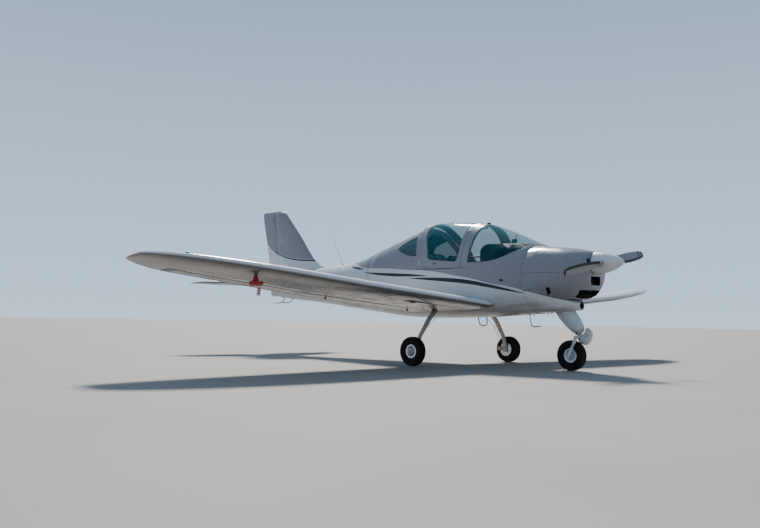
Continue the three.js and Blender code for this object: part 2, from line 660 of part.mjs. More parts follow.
// Tailplane and elevators. Columns: span, leading edge x, trailing edge x, z, thickness
const TAILPLANE_Z = 1150;
const TAILPLANE = [
  [20, -2540, -3478, TAILPLANE_Z, 0.1],
  [1330, -3040, -3492, TAILPLANE_Z, 0.1],
  [1460, -3110, -3494, TAILPLANE_Z, 0.09],
  [1540, -3230, -3494, TAILPLANE_Z, 0.06],
];
const TAILPLANE_HINGE_X = -3225;
const TAILPLANE_INCIDENCE = 0.05;
const ELEVATOR_SPAN = [150, 1300];
const ELEVATOR_INNER_TRAIL = 520;
const ELEVATOR_BAY_Y = 400;
const RUDDER_SWING_HALF = 140;
function tailRow(span) {
  const k = Math.max(1, TAILPLANE.findIndex((row) => row[0] >= span));
  const [a, b] = [TAILPLANE[k - 1], TAILPLANE[k]];
  return a.map((value, i) => mix(value, b[i], (span - a[0]) / (b[0] - a[0])));
}
function tailHalf(span) {
  const [, lead, trail, , thickness] = tailRow(span);
  const share = (lead - TAILPLANE_HINGE_X) / (lead - trail);
  return (lead - trail) * thickness * thicknessAt(share);
}
const tailCone = bodyLoft(HULL, TAIL_STATIONS);
const tailConeGrown = bodyLoft(HULL, TAIL_STATIONS, -GAP);

// Fin and rudder. Columns: z, leading edge x, trailing edge x, thickness share
const FIN = [
  [962, -2640, -3228, 0.10],
  [990, -2560, -3270, 0.15],
  [1150, -2500, -3300, 0.165],
  [1345, -2300, -3318, 0.115],
  [1425, -1800, -3326, 0.062],
  [1475, -1965, -3332, 0.068],
  [1580, -2110, -3345, 0.074],
  [1740, -2262, -3385, 0.078],
  [1900, -2395, -3422, 0.08],
  [2100, -2580, -3482, 0.08],
  [2290, -2772, -3530, 0.08],
  [2390, -2868, -3550, 0.075],
  [2440, -2945, -3552, 0.06],
  [2466, -3060, -3520, 0.04],
];
const RUDDER_HINGE = [[968, -3010], [2476, -3202]];
const hingeX = (z) => mix(RUDDER_HINGE[0][1], RUDDER_HINGE[1][1], (z - RUDDER_HINGE[0][0])
  / (RUDDER_HINGE[1][0] - RUDDER_HINGE[0][0]));
const verticalTail = loft(FIN.map(([z, lead, trail, thickness]) => airfoil(thickness, 0).map(([t, h]) => (
  at(lead - (lead - trail) * t, (lead - trail) * h, z)))));
const rudderPivot = (z) => at(hingeX(z), 0, z);
const rudderRegion = sidePrism([
  [hingeX(0), 0], [hingeX(3000), 3000], [-FAR, 3000], [-FAR, 0],
]);
const RUDDER_NOSE_RADII = [44, 17];
const RUDDER_COVE_RADII = [57, 26];
const rudderNose = rod(rudderPivot(930), rudderPivot(2500), ...RUDDER_NOSE_RADII);
const rudderCove = rod(rudderPivot(900), rudderPivot(2520), ...RUDDER_COVE_RADII);
const rudder = verticalTail.intersect(rudderRegion.add(rudderNose));
add('rudder', rudder, paint(WHITE));
const rudderCutter = rudderRegion.add(rudderCove);
const fin = verticalTail.subtract(rudderCutter)
  .subtract(tailConeGrown)
  .intersect(box(-FAR, FAR, -FAR, FAR, 1300, FAR));
add('fin', fin, paint(WHITE));
const tailShell = tailCone.subtract(bodyLoft(HULL, TAIL_INNER_STATIONS, TAIL_WALL))
  .subtract(rudderCutter)
  .intersect(box(-FAR, BULKHEAD_X - GAP, -FAR, FAR, 0, FAR));
add('tail_cone', tailShell, paint(WHITE));

const rudderSwing = rudderCutter.intersect(box(-FAR, FAR, -RUDDER_SWING_HALF, RUDDER_SWING_HALF, 0, FAR));
const tailplaneRing = (side, [span, lead, trail, z, thickness]) => airfoil(thickness, 0).map(([t, h]) => {
  const x = mix(lead, trail, t);
  return at(x, side * span, z + (x - TAILPLANE_HINGE_X) * TAILPLANE_INCIDENCE + (lead - trail) * h);
});
SIDES.forEach(([name, side]) => {
  const surface = loft(TAILPLANE.map((row) => tailplaneRing(side, row)));
  const [spanFrom, spanTo] = ELEVATOR_SPAN;
  const ends = ELEVATOR_SPAN.map((span) => at(TAILPLANE_HINGE_X, side * span, TAILPLANE_Z));
  const region = (grow) => {
    const outline = [
      [TAILPLANE_HINGE_X, side * (spanFrom - grow)], [TAILPLANE_HINGE_X, side * (spanTo + grow)],
      [-FAR, side * (spanTo + grow)], [-3900, side * (ELEVATOR_INNER_TRAIL - grow)],
    ];
    return planPrism(side > 0 ? outline.reverse() : outline, 300, 2000);
  };
  const halves = ELEVATOR_SPAN.map((span) => tailHalf(span) - 1);
  const { moving, cutter } = splitAtHinge(surface, ...ends, ...halves, region);
  add(`elevator_${name}`, moving, paint(WHITE));
  const [innerLow, innerHigh] = side > 0 ? [0, ELEVATOR_BAY_Y] : [-ELEVATOR_BAY_Y, 0];
  const innerCut = box(-FAR, TAILPLANE_HINGE_X + 60, innerLow, innerHigh, 300, 2000);
  const fixed = surface.subtract(cutter).subtract(innerCut).subtract(tailConeGrown)
    .subtract(verticalTail).subtract(rudderSwing);
  add(`tailplane_${name}`, fixed, paint(WHITE));
});

// Main legs with axle and brake, wheels and tyres
function tyreProfile(outer, inner, width) {
  const half = width / 2;
  const bead = half * 0.62;
  const outline = [new THREE.Vector2(inner, -bead)];
  for (let i = 1; i < 8; i += 1) {
    const angle = (Math.PI * i) / 8;
    const radius = inner + (outer - inner) * Math.sin(angle) ** 0.62;
    outline.push(new THREE.Vector2(radius, -half * Math.cos(angle)));
  }
  return [...outline, new THREE.Vector2(inner, bead), outline[0]];
}
function rimProfile(outer, width) {
  const half = width / 2;
  const bore = AXLE_RADIUS + 0.4;
  const near = [
    [bore, -half], [42, -half], [44, -half * 0.45],
    [outer - 18, -half * 0.35], [outer - 12, -half * 0.62], [outer, -half * 0.62],
  ];
  const far = near.map(([r, y]) => [r, -y]).reverse();
  return [...near, ...far, near[0]].map(([r, y]) => new THREE.Vector2(r, y));
}
function addWheel(name, x, y, width) {
  const tyre = new THREE.LatheGeometry(tyreProfile(TYRE_RADIUS, RIM_RADIUS + GAP, width), 32);
  const rim = new THREE.LatheGeometry(rimProfile(RIM_RADIUS, width * 0.86), 20);
  add(`${name}_tyre`, tyre, paint(DARK, 0.85)).position.set(x, y, TYRE_RADIUS);
  add(`${name}_rim`, rim, metal(0xc9ccce)).position.set(x, y, TYRE_RADIUS);
}

SIDES.forEach(([name, side]) => {
  const y = (value) => side * value;
  const low = Math.min(y(LEG_FOOT_Y - 8), y(LEG_FOOT_Y + 12));
  const foot = box(AXLE_X - 34, AXLE_X + 34, low, low + 20, 150, 225);
  const [axleFrom, axleTo] = [LEG_FOOT_Y, MAIN_WHEEL_Y + 62].map((value) => at(AXLE_X, y(value), TYRE_RADIUS));
  const axle = rod(axleFrom, axleTo, AXLE_RADIUS);
  const [caliperLow, caliperHigh] = [y(LEG_FOOT_Y - 24), y(LEG_FOOT_Y + 14)].sort((a, b) => a - b);
  const caliper = box(AXLE_X - 118, AXLE_X - 60, caliperLow, caliperHigh, 170, 222);
  const mount = box(AXLE_X - 70, AXLE_X - 20, low, low + 14, 172, 212);
  const leg = mainLegStrut(side).add(foot).add(axle).add(caliper).add(mount);
  add(`main_leg_${name}`, leg, paint(0xb3aca0));
  addWheel(`main_${name}`, AXLE_X, y(MAIN_WHEEL_Y), MAIN_TYRE_WIDTH);
  add(`wing_${name}`, wings[name], paint(WHITE));
});

// Nose gear: fixed leg in its fairing, fork that steers, wheel
const steerAxis = STEER_LOW.clone().sub(STEER_TOP).normalize();
const NOSE_FAIRING = [
  // z, rear x, front x, half width
  [780, 2556, 2861, 58],
  [722, 2600, 2902, 58],
  [640, 2662, 2960, 56],
  [560, 2742, 3006, 52],
  [505, 2808, 3016, 46],
  [466, 2860, 2992, 36],
];
function streamlined(z, rear, front, half) {
  const ring = [];
  for (let i = 0; i < 20; i += 1) {
    const angle = (2 * Math.PI * i) / 20;
    const along = Math.cos(angle);
    const width = Math.sin(angle) * (along > 0 ? 1 : 1 - 0.35 * Math.abs(along));
    const reach = (along > 0 ? 0.38 : 0.62) * (front - rear);
    ring.push(at(mix(rear, front, 0.62) + along * reach, half * width, z));
  }
  return ring;
}
const noseUpper = loft(NOSE_FAIRING.map((row) => streamlined(...row)))
  .subtract(bodyLoft(FAIRING, FAIRING_STATIONS, -GAP));
const belowSteerLow = (distance) => STEER_LOW.clone().addScaledVector(steerAxis, distance);
const steerTube = rod(STEER_TOP.clone().addScaledVector(steerAxis, -60), belowSteerLow(6), 30);
add('nose_leg', noseUpper.add(steerTube), paint(WHITE));

const FORK_TOP = belowSteerLow(12);
const FORK_HALF = NOSE_TYRE_WIDTH / 2 + 14;
const FORK_ARM = [
  // x, z, width, thickness
  [FORK_TOP.x - 6, 428, 44, 16],
  [2925, 352, 40, 14],
  [2880, 262, 34, 12],
  [NOSE_AXLE_X + 2, TYRE_RADIUS - 22, 34, 12],
];
const forkArms = [-1, 1].map((side) => loft(FORK_ARM.map(([x, z, width, thick]) => (
  [[-1, -1], [1, -1], [1, 1], [-1, 1]].map(([a, b]) => (
    at(x + a * width / 2, side * (FORK_HALF + 6) + b * thick / 2, z)))))));
const crown = box(FORK_TOP.x - 34, FORK_TOP.x + 30, -(FORK_HALF + 13), FORK_HALF + 13, 404, 432);
const [noseAxleFrom, noseAxleTo] = [-1, 1].map((end) => at(NOSE_AXLE_X, end * (FORK_HALF + 12), TYRE_RADIUS));
const noseAxle = rod(noseAxleFrom, noseAxleTo, AXLE_RADIUS);
const GUARD = [
  // z, rear x, front x, half width
  [322, 3010, 3050, 24],
  [344, 2964, 3080, 50],
  [380, 2936, 3108, 68],
  [420, 2916, 3120, 76],
  [438, 2918, 3122, 76],
  [452, 3000, 3122, 72],
  [470, 3022, 3118, 64],
  [500, 3034, 3102, 46],
  [527, 3042, 3074, 22],
];
const guard = loft(GUARD.map((row) => streamlined(...row)));
const guardNeck = box(2956, 3040, -28, 28, 406, 430);
const steerSocket = rod(belowSteerLow(-90), belowSteerLow(8), 36);
const fork = unite([crown, ...forkArms, noseAxle, guard, guardNeck]).subtract(noseUpper).subtract(steerSocket);
add('nose_fork', fork, paint(WHITE));
addWheel('nose', NOSE_AXLE_X, 0, NOSE_TYRE_WIDTH);

// Cabin fittings
const panelBlock = inCabin(sidePrism([
  [1850, 1180], [1778, 1395], [1754, 1500], [1772, 1560], [1814, 1588],
  [2390, 1590], [2390, 1530], [1990, 1500], [1935, 1180],
], -600, 600));
add('instrument_panel', panelBlock, paint(0x23282b, 0.8));
const bench = inCabin(box(780, 1360, -420, 420, 690, 838)).add(inCabin(box(1300, 2060, -52, 52, 690, 905)));
add('seat_bench', bench, paint(0x4a5154, 0.8));
SIDES.forEach(([name, side]) => {
  const centre = side * SEAT_Y;
  const seat = sidePrism([
    [1350, 842], [1362, 900], [1340, 930], [980, 905], [905, 1490], [880, 1520], [820, 1520], [802, 1490],
    [868, 880], [900, 842],
  ], centre - SEAT_HALF_WIDTH, centre + SEAT_HALF_WIDTH);
  add(`seat_${name}`, seat, paint(SEAT_TEAL, 0.9));
});
SIDES.forEach(([name, side]) => {
  const stick = rod(at(1520, side * SEAT_Y, 720), at(1490, side * SEAT_Y, 1075), 11, 11, 10)
    .add(rod(at(1491, side * SEAT_Y, 1060), at(1484, side * SEAT_Y, 1180), 19, 16, 12));
  add(`control_stick_${name}`, stick, paint(DARK, 0.7));
});

// Small outside fittings
const stepTube = tubePath([
  at(1058, 372, 725), at(1070, 388, 650), at(1094, 400, 545), at(1112, 400, 533),
  at(1198, 400, 533), at(1219, 400, 545), at(1222, 388, 650), at(1222, 372, 725),
], 9, 16);
add('entry_step_port', stepTube.subtract(hullGrown), paint(0xb3aca0));

const ventTube = tubePath([
  at(2218, 0, 700), at(2232, 0, 620), at(2250, 0, 545), at(2275, 0, 532), at(2392, 0, 540),
], 8, 12);
add('vent_tube', ventTube.subtract(hullGrown), metal(0x8a8478, 0.5));

const skidRear = tubePath([
  at(-2900, 0, 950), at(-2905, 0, 905), at(-2950, 0, 868), at(-3190, 0, 852), at(-3270, 0, 884),
], 9, 14);
const skidFront = tubePath([
  at(-3000, 0, 861), at(-2860, 0, 852), at(-2740, 0, 862), at(-2680, 0, 896), at(-2660, 0, 940),
], 9, 10);
add('tail_skid', skidRear.add(skidFront).subtract(tailConeGrown), paint(DARK));

const whip = rod(at(-1388, 0, 1380), at(-1392, 0, 1462), 26, 14, 14)
  .add(rod(at(-1392, 0, 1450), at(-1660, 0, 1935), 4.5, 2.5, 8));
add('whip_antenna', whip.subtract(tailConeGrown), paint(0xc9cccc));

// Air-data tube under the starboard wing, its cover and the hanging ribbon
const PITOT_X = 1500;
const PITOT_Y = -3800;
const PITOT_LENGTH = 92;
const PITOT_TAIL = 66;
const pitotAt = (forward, z) => at(PITOT_X + forward, PITOT_Y, z);
const pitotRod = (x0, x1, r0, r1) => rod(pitotAt(x0, PITOT_Z), pitotAt(x1, PITOT_Z), r0, r1);
const pitotMast = (low, high, r0, r1) => rod(pitotAt(0, low), pitotAt(0, high), r0, r1);
const wingBelow = wingSolid(-1);
const pitot = pitotMast(PITOT_Z, 1060, 11, 13).add(pitotRod(-PITOT_TAIL, PITOT_LENGTH, 11, 9));
add('pitot_tube', pitot.subtract(wingBelow.translate([0, 0, -GAP])).subtract(wingBelow), metal(0x8f9396));
const SLEEVE_GAP = 4;
const cover = pitotRod(-PITOT_TAIL - 22, PITOT_LENGTH + 32, 27, 25).add(pitotMast(PITOT_Z, 1060, 38, 30))
  .subtract(pitotRod(-PITOT_TAIL - 10, PITOT_LENGTH + 10, 14, 14))
  .subtract(pitotMast(PITOT_Z, 1070, 16, 16))
  .subtract(wingBelow.translate([0, 0, -SLEEVE_GAP]))
  .subtract(wingBelow);
add('pitot_cover', cover, paint(RED, 0.9));
const RIBBON_LOW_Z = 812;
const ribbon = box(PITOT_X + 28, PITOT_X + 92, PITOT_Y - 1.5, PITOT_Y + 1.5, RIBBON_LOW_Z, PITOT_Z - 30);
add('cover_ribbon', ribbon, paint(RED, 0.9));

export default airplane;
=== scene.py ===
import json
import math

import bpy
from mathutils import Matrix, Vector
from mathutils.bvhtree import BVHTree

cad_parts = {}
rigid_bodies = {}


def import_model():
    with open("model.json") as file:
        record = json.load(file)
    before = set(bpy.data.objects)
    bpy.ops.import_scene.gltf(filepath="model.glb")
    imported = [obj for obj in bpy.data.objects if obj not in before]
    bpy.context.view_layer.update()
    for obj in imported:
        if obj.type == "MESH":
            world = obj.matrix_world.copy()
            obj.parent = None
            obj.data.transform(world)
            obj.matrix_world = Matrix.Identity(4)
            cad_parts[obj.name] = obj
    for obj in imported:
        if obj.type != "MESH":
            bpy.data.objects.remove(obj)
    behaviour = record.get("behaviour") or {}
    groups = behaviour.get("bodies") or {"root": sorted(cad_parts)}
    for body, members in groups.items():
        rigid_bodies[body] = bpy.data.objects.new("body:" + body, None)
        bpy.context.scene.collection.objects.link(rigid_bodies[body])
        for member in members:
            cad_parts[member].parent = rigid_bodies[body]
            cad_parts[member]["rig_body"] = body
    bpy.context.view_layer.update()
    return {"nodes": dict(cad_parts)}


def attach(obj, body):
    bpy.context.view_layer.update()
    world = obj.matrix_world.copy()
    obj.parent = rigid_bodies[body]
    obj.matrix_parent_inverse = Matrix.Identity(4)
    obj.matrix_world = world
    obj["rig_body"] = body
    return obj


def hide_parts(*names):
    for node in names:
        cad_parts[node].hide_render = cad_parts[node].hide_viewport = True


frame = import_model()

# Places in the frame, in metres
PORT, STARBOARD = 1, -1
SIDES = (("port", PORT), ("starboard", STARBOARD))
THRUST_LINE = Vector((3.312, 0.0, 1.312))
BLADE_TILT = 0.18
TYRE_RADIUS = 0.1875
RIM_RADIUS = 0.089
MAIN_AXLE = Vector((1.13, 0.0, TYRE_RADIUS))
NOSE_AXLE = Vector((2.84, 0.0, TYRE_RADIUS))
MAIN_WHEEL_Y = 1.030
MAIN_TYRE_HALF, MAIN_RIM_HALF = 0.0577, 0.0535
NOSE_TYRE_HALF, NOSE_RIM_HALF = 0.0545, 0.0505
SEAT_Y = 0.258
COVER_X, COVER_Y, COVER_Z = 1.500, -3.800, 0.940
COWL_SPLIT_Z = 1.186
DUCT_AXIS_Z, DUCT_BORE, DUCT_START_X = 0.800, 0.048, 2.88
HULL_CENTRE = 1.12
HULL_NODES = (
    "fuselage_cabin", "rear_deck", "tail_cone", "cowl_upper", "cowl_lower", "belly_fairing", "canopy_frame",
    "windscreen_hoop", "windscreen", "canopy_glass", "rear_window_port", "rear_window_starboard",
)
# Heights that upright rays start from, and how far level rays start and reach
BELOW, ABOVE = 0.3, 2.0
CAST_FROM, CAST_REACH, SPINNER_CAST = 2.0, 1.95, 0.5
# How close points are merged, and the angles in degrees from which an edge stays sharp
WELD, MERGE = 2e-5, 1e-5
CRISP, SHARP, ROUND, SOFT = 30, 35, 40, 50
CLOTH_ANGLE, WEBBING_ANGLE = 80, 60
# How far the heads of screws stand off what they hold
HEAD_LIFT = 0.0004


# Operators on whole pieces
def deselect():
    if bpy.context.object and bpy.context.object.mode != "OBJECT":
        bpy.ops.object.mode_set(mode="OBJECT")
    bpy.ops.object.select_all(action="DESELECT")


def choose(*pieces):
    deselect()
    for piece in pieces:
        piece.select_set(True)
    bpy.context.view_layer.objects.active = pieces[0]


def set_down(piece):
    choose(piece)
    bpy.ops.object.transform_apply(location=True, rotation=True, scale=True)
    return piece


def fuse(pieces):
    choose(*pieces)
    if len(pieces) > 1:
        bpy.ops.object.join()
    return bpy.context.object


def copied(piece):
    choose(piece)
    bpy.ops.object.duplicate(linked=False)
    return bpy.context.object


def modify(piece, kind, **settings):
    choose(piece)
    modifier = piece.modifiers.new(kind.lower(), kind)
    for key, value in settings.items():
        setattr(modifier, key, value)
    bpy.ops.object.modifier_apply(modifier=modifier.name)
    return piece


def soften(piece, width, segments=2):
    limit = math.radians(SHARP)
    return modify(piece, "BEVEL", width=width, segments=segments, limit_method="ANGLE", angle_limit=limit)


def edited(piece, *steps):
    """Runs mesh operators, each with its settings, on the whole of a piece"""
    choose(piece)
    bpy.ops.object.mode_set(mode="EDIT")
    bpy.ops.mesh.select_all(action="SELECT")
    for operator, settings in steps:
        operator(**settings)
    bpy.ops.object.mode_set(mode="OBJECT")
    return piece


def close_up(piece, gap=MERGE):
    return edited(piece, (bpy.ops.mesh.remove_doubles, {"threshold": gap}),
                  (bpy.ops.mesh.normals_make_consistent, {"inside": False}))


def stand(piece, place, normal):
    """Puts a small part's foot at a place, with its Z along the normal"""
    turn = Vector(normal).to_track_quat("Z", "Y").to_matrix().to_4x4()
    piece.matrix_world = Matrix.Translation(place) @ turn
    return piece


def spread(master, places):
    """Copies one small part to many places on a surface and joins the copies"""
    copies = [stand(copied(master), place, normal) for place, normal in places]
    bpy.data.objects.remove(master)
    return set_down(fuse(copies))


def fit(piece, name, finish, body="airframe", replaces=(), angle=SHARP, slot=None):
    """Names a finished piece, gives it its finish and hangs it on a body"""
    usual_slot, material = FINISHES[finish]
    slot = slot or usual_slot
    set_down(piece)
    bpy.ops.object.shade_smooth_by_angle(angle=math.radians(angle))
    piece.name = name
    piece.data.name = name
    piece.data.materials.clear()
    piece.data.materials.append(material)
    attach(piece, body)
    if replaces:
        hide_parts(*replaces)
    return piece


# Simple shapes to start from
def block(low, high, ease=0.003):
    low, high = Vector(low), Vector(high)
    deselect()
    bpy.ops.mesh.primitive_cube_add(size=1, location=(low + high) / 2)
    piece = bpy.context.object
    piece.scale = high - low
    set_down(piece)
    return soften(piece, ease) if ease else piece


def rod(start, end, radius, end_radius=None, sides=20, ease=0.0):
    start, end = Vector(start), Vector(end)
    turn = (end - start).to_track_quat("Z", "Y").to_euler()
    deselect()
    bpy.ops.mesh.primitive_cone_add(
        vertices=sides, radius1=radius, radius2=radius if end_radius is None else end_radius,
        depth=(end - start).length, location=(start + end) / 2, rotation=turn)
    piece = set_down(bpy.context.object)
    return soften(piece, ease) if ease else piece


def peg(low, high, *shape):
    """A rod along Z, to be stood on a surface"""
    return rod((0, 0, low), (0, 0, high), *shape)


def drawn_line(points, closed=False, order=0):
    deselect()
    bpy.ops.curve.primitive_nurbs_path_add(location=(0, 0, 0))
    line = bpy.context.object
    line.data.splines.clear()
    spline = line.data.splines.new("NURBS" if order else "POLY")
    spline.points.add(len(points) - 1)
    for point, place in zip(spline.points, points):
        point.co = (*place, 1)
    if order:
        spline.order_u = order
        spline.use_endpoint_u = not closed
        spline.resolution_u = 6
    spline.use_cyclic_u = closed
    return line


def as_mesh(line):
    choose(line)
    bpy.ops.object.convert(target="MESH")
    return bpy.context.object


def pipe(points, radius, closed=False, rounds=1, order=0):
    line = drawn_line(points, closed, order)
    line.data.bevel_depth = radius
    line.data.bevel_resolution = rounds
    line.data.use_fill_caps = not closed
    return as_mesh(line)


def spun(line, axis, place, steps):
    piece = as_mesh(line)
    merge = {"use_merge_vertices": True, "merge_threshold": MERGE}
    modify(piece, "SCREW", axis=axis, steps=steps, render_steps=steps, **merge)
    close_up(piece)
    piece.location = place
    return set_down(piece)


def turned(profile, centre, steps):
    """A body turned about an axle along Y from (radius, offset along the axle) pairs"""
    return spun(drawn_line([(radius, along, 0) for radius, along in profile]), "Y", centre, steps)


def turned_up(profile, centre, thick=0.0015, steps=28):
    """A hollow body turned about an upright axis from (radius, height) pairs"""
    inner = [(radius - thick, height) for radius, height in reversed(profile)]
    line = drawn_line([(radius, 0, height) for radius, height in profile + inner + profile[:1]])
    return spun(line, "Z", (*centre, 0), steps)


def spoke(angle, radius=1.0):
    """A vector at an angle round a line along X"""
    return Vector((0, math.cos(angle), math.sin(angle))) * radius


def round_axle(angle, radius):
    """A vector at an angle round an axle along Y"""
    return Vector((radius * math.cos(angle), 0, radius * math.sin(angle)))


def shares_of_turn(count):
    return [math.tau * step / count for step in range(count)]


# The surfaces of CAD nodes, for placing what lies on them
def surface_of(names):
    points, faces = [], []
    for name in names:
        mesh = frame["nodes"][name].data
        start = len(points)
        points += [vertex.co.copy() for vertex in mesh.vertices]
        faces += [tuple(start + corner for corner in polygon.vertices) for polygon in mesh.polygons]
    return BVHTree.FromPolygons(points, faces)


HULL = surface_of(HULL_NODES)
WINGS = surface_of(("wing_port", "wing_starboard"))
SPINNER = surface_of(("spinner",))
NUDGES = [(0.0, 0.0)] + [(step * a, step * b) for step in (0.002, 0.004, 0.007)
                         for a, b in ((1, 0), (-1, 0), (0, 1), (0, -1))]


def cast(places, inward):
    """The first hit on the hull's near side, tried a little to each side of a gap between panels"""
    for place in places:
        hit, normal, _, _ = HULL.ray_cast(place, inward)
        if hit is not None and normal.dot(inward) < 0 and (hit - place).length < CAST_REACH:
            return hit, normal
    return None, None


def side_of_hull(x, z, side, lift=0.0):
    tries = [Vector((x + dx, CAST_FROM * side, z + dz)) for dx, dz in NUDGES]
    hit, normal = cast(tries, Vector((0, -side, 0)))
    return Vector((x, hit.y, z)) + normal * lift, normal


def along_side(points, side, lift=0.0):
    return [side_of_hull(x, z, side, lift)[0] for x, z in points]


def round_hull(x, angle, lift=0.0):
    out = spoke(angle)
    across = Vector((0, -out.z, out.y))
    tries = [Vector((x + dx, 0, HULL_CENTRE)) + out * CAST_FROM + across * dy for dx, dy in NUDGES]
    hit, normal = cast(tries, -out)
    return Vector((x, hit.y, hit.z)) + normal * lift, normal


def meet(surface, x, y, start):
    """The place and normal where an upright ray from a height meets a surface"""
    way = 1 if start == BELOW else -1
    return surface.ray_cast(Vector((x, y, start)), Vector((0, 0, way)))[:2]


def on_spinner(x, angle, lift):
    out = spoke(angle)
    place, normal, _, _ = SPINNER.ray_cast(Vector((x, 0, THRUST_LINE.z)) + out * SPINNER_CAST, -out)
    return (place + normal * lift, normal) if place else None


# Finishes
NOISE_ROUGH = 0.55
STROKE_TAPER, STROKE_EDGE = 0.42, 0.002


def shade(colour, share, add=0.0):
    return tuple(share * part + add for part in colour)


class Finish:
    """A material built up from its shader outwards"""

    def __init__(self, name, **steady):
        self.material = bpy.data.materials.new(name)
        self.material.use_nodes = True
        self.tree = self.material.node_tree
        self.shader = self.tree.nodes["Principled BSDF"]
        self.place = self.node("ShaderNodeTexCoord").outputs["Object"]
        self.x, self.y, self.z = self.node("ShaderNodeSeparateXYZ", (self.place,)).outputs
        for socket, value in steady.items():
            self.shader.inputs[socket.replace("_", " ")].default_value = value

    def plug(self, socket, value):
        if isinstance(value, bpy.types.NodeSocket):
            self.tree.links.new(value, socket)
        else:
            socket.default_value = (*value, 1) if socket.type == "RGBA" else value

    def node(self, kind, values=(), **settings):
        """A new node with its settings, its inputs fed in order or by name"""
        made = self.tree.nodes.new(kind)
        for key, value in settings.items():
            setattr(made, key, value)
        for socket, value in values.items() if isinstance(values, dict) else enumerate(values):
            self.plug(made.inputs[socket], value)
        return made

    def sum(self, operation, *values):
        return self.node("ShaderNodeMath", values, operation=operation).outputs[0]

    def times(self, a, b):
        return self.sum("MULTIPLY", a, b)

    def less(self, a, b):
        return self.sum("SUBTRACT", a, b)

    def stretched(self, scale):
        return self.node("ShaderNodeMapping", {"Vector": self.place, "Scale": scale}).outputs[0]

    def noise(self, scale, detail, place=None):
        values = {"Vector": place or self.place, "Scale": scale, "Detail": detail, "Roughness": NOISE_ROUGH}
        return self.node("ShaderNodeTexNoise", values).outputs["Fac"]

    def between(self, *values):
        """A soft step: a value, where it begins and ends, and what it gives at each end"""
        return self.node("ShaderNodeMapRange", values, interpolation_type="SMOOTHSTEP").outputs[0]

    def patches(self, scale, detail, *ends):
        return self.between(self.noise(scale, detail), *ends)

    def blend(self, share, a, b):
        return self.node("ShaderNodeMix", {0: share, 6: a, 7: b}, data_type="RGBA").outputs[2]

    def line(self, along, points):
        """A smooth line through (place along, height) points, as a height at each place"""
        (first, _), (last, _) = points[0], points[-1]
        heights = [height for _, height in points]
        low = min(heights)
        span = max(max(heights) - low, 1e-3)
        made = self.node("ShaderNodeFloatCurve", {"Factor": 1.0})
        curve = made.mapping.curves[0]
        while len(curve.points) > 2:
            curve.points.remove(curve.points[1])
        places = [((place - first) / (last - first), (height - low) / span) for place, height in points]
        curve.points[0].location = places[0]
        curve.points[1].location = places[-1]
        for place in places[1:-1]:
            curve.points.new(*place)
        made.mapping.update()
        self.plug(made.inputs["Value"], self.sum("DIVIDE", self.less(along, first), last - first))
        return self.sum("MULTIPLY_ADD", made.outputs[0], span, low)

    def above(self, along, height, points):
        return self.less(height, self.line(along, points))

    def stroke(self, along, across, points, width):
        """A painted stroke, widest half way and tapered to both ends"""
        share = self.between(along, points[0][0], points[-1][0])
        swell = self.times(self.times(share, self.less(1.0, share)), 4.0)
        half = self.times(self.sum("POWER", swell, STROKE_TAPER), width / 2)
        off = self.sum("ABSOLUTE", self.above(along, across, points))
        return self.between(self.less(half, off), 0.0, STROKE_EDGE)

    def bump(self, height, strength, distance):
        made = self.node("ShaderNodeBump", {"Strength": strength, "Distance": distance, "Height": height})
        self.plug(self.shader.inputs["Normal"], made.outputs[0])

    def done(self, colour, roughness, relief, strength, depth=0.0005):
        """Takes a colour, a roughness and a relief, which is a height or a grain's noise scale"""
        self.plug(self.shader.inputs["Base Color"], colour)
        self.plug(self.shader.inputs["Roughness"], roughness)
        self.bump(self.noise(relief, 2) if isinstance(relief, float) else relief, strength, depth)
        return self.material


WHITE = (0.62, 0.63, 0.645)
WHITE_AGED = (0.57, 0.575, 0.58)
PEARL_GREY = (0.23, 0.225, 0.25)
NAVY = (0.004, 0.006, 0.016)
CAP_GREY = (0.30, 0.315, 0.34)
DUST = (0.36, 0.30, 0.23)
SOOT = (0.05, 0.045, 0.04)
# Painted shade for wing faces turned to the ground
UNDERSIDE_SHADE = (0.055, 0.043, 0.032)

# Painted lines on the hull and the fin, as (x, height) points
TWO_TONE = ((-1.22, 1.50), (-0.75, 1.42), (-0.45, 1.352), (0.06, 1.323), (0.40, 1.297), (0.80, 1.270),
            (1.18, 1.226), (1.44, 1.177), (1.69, 1.136), (1.99, 1.066), (2.28, 1.018), (2.51, 0.962))
CHIN_LINE = ((2.45, 0.972), (2.64, 0.948), (2.74, 0.914), (2.90, 0.876), (3.2, 0.872))
LONG_STROKE = ((0.56, 1.169), (0.85, 1.155), (1.19, 1.135), (1.44, 1.116), (1.66, 1.091), (1.97, 1.038),
               (2.25, 0.984), (2.52, 0.930))
MIDDLE_STROKE = ((-0.48, 1.290), (-0.16, 1.256), (0.18, 1.230), (0.45, 1.215), (0.71, 1.203), (1.0, 1.185))
SHORT_STROKE = ((-0.90, 1.392), (-0.68, 1.362), (-0.44, 1.325))
FIN_LINE = ((-3.56, 2.06), (-3.46, 1.965), (-3.36, 1.893), (-3.25, 1.814), (-3.11, 1.742), (-2.94, 1.683),
            (-2.585, 1.607), (-2.20, 1.577))
FIN_CAP = ((-3.56, 2.442), (-3.20, 2.424), (-2.86, 2.403))
PAINT_EDGE = 0.003
# Where the grey starts, the cowl's back edge, and a walkway's reach and ends
GREY_START, COWL_BACK = -1.22, 2.450
WALK_REACH, WALK_AFT, WALK_FORE = 0.94, 0.78, 1.72
# Bands on the blade whose reach is positive, as start, end and colour
BLADE_BANDS = ((0.795, 0.83, (0.02, 0.02, 0.025)), (0.86, 0.895, (0.05, 0.02, 0.03)))
BLADE_EDGE = ((0.0, -0.004), (0.15, 0.003), (0.3, 0.016), (0.56, 0.024), (0.8, 0.018), (0.93, 0.0))


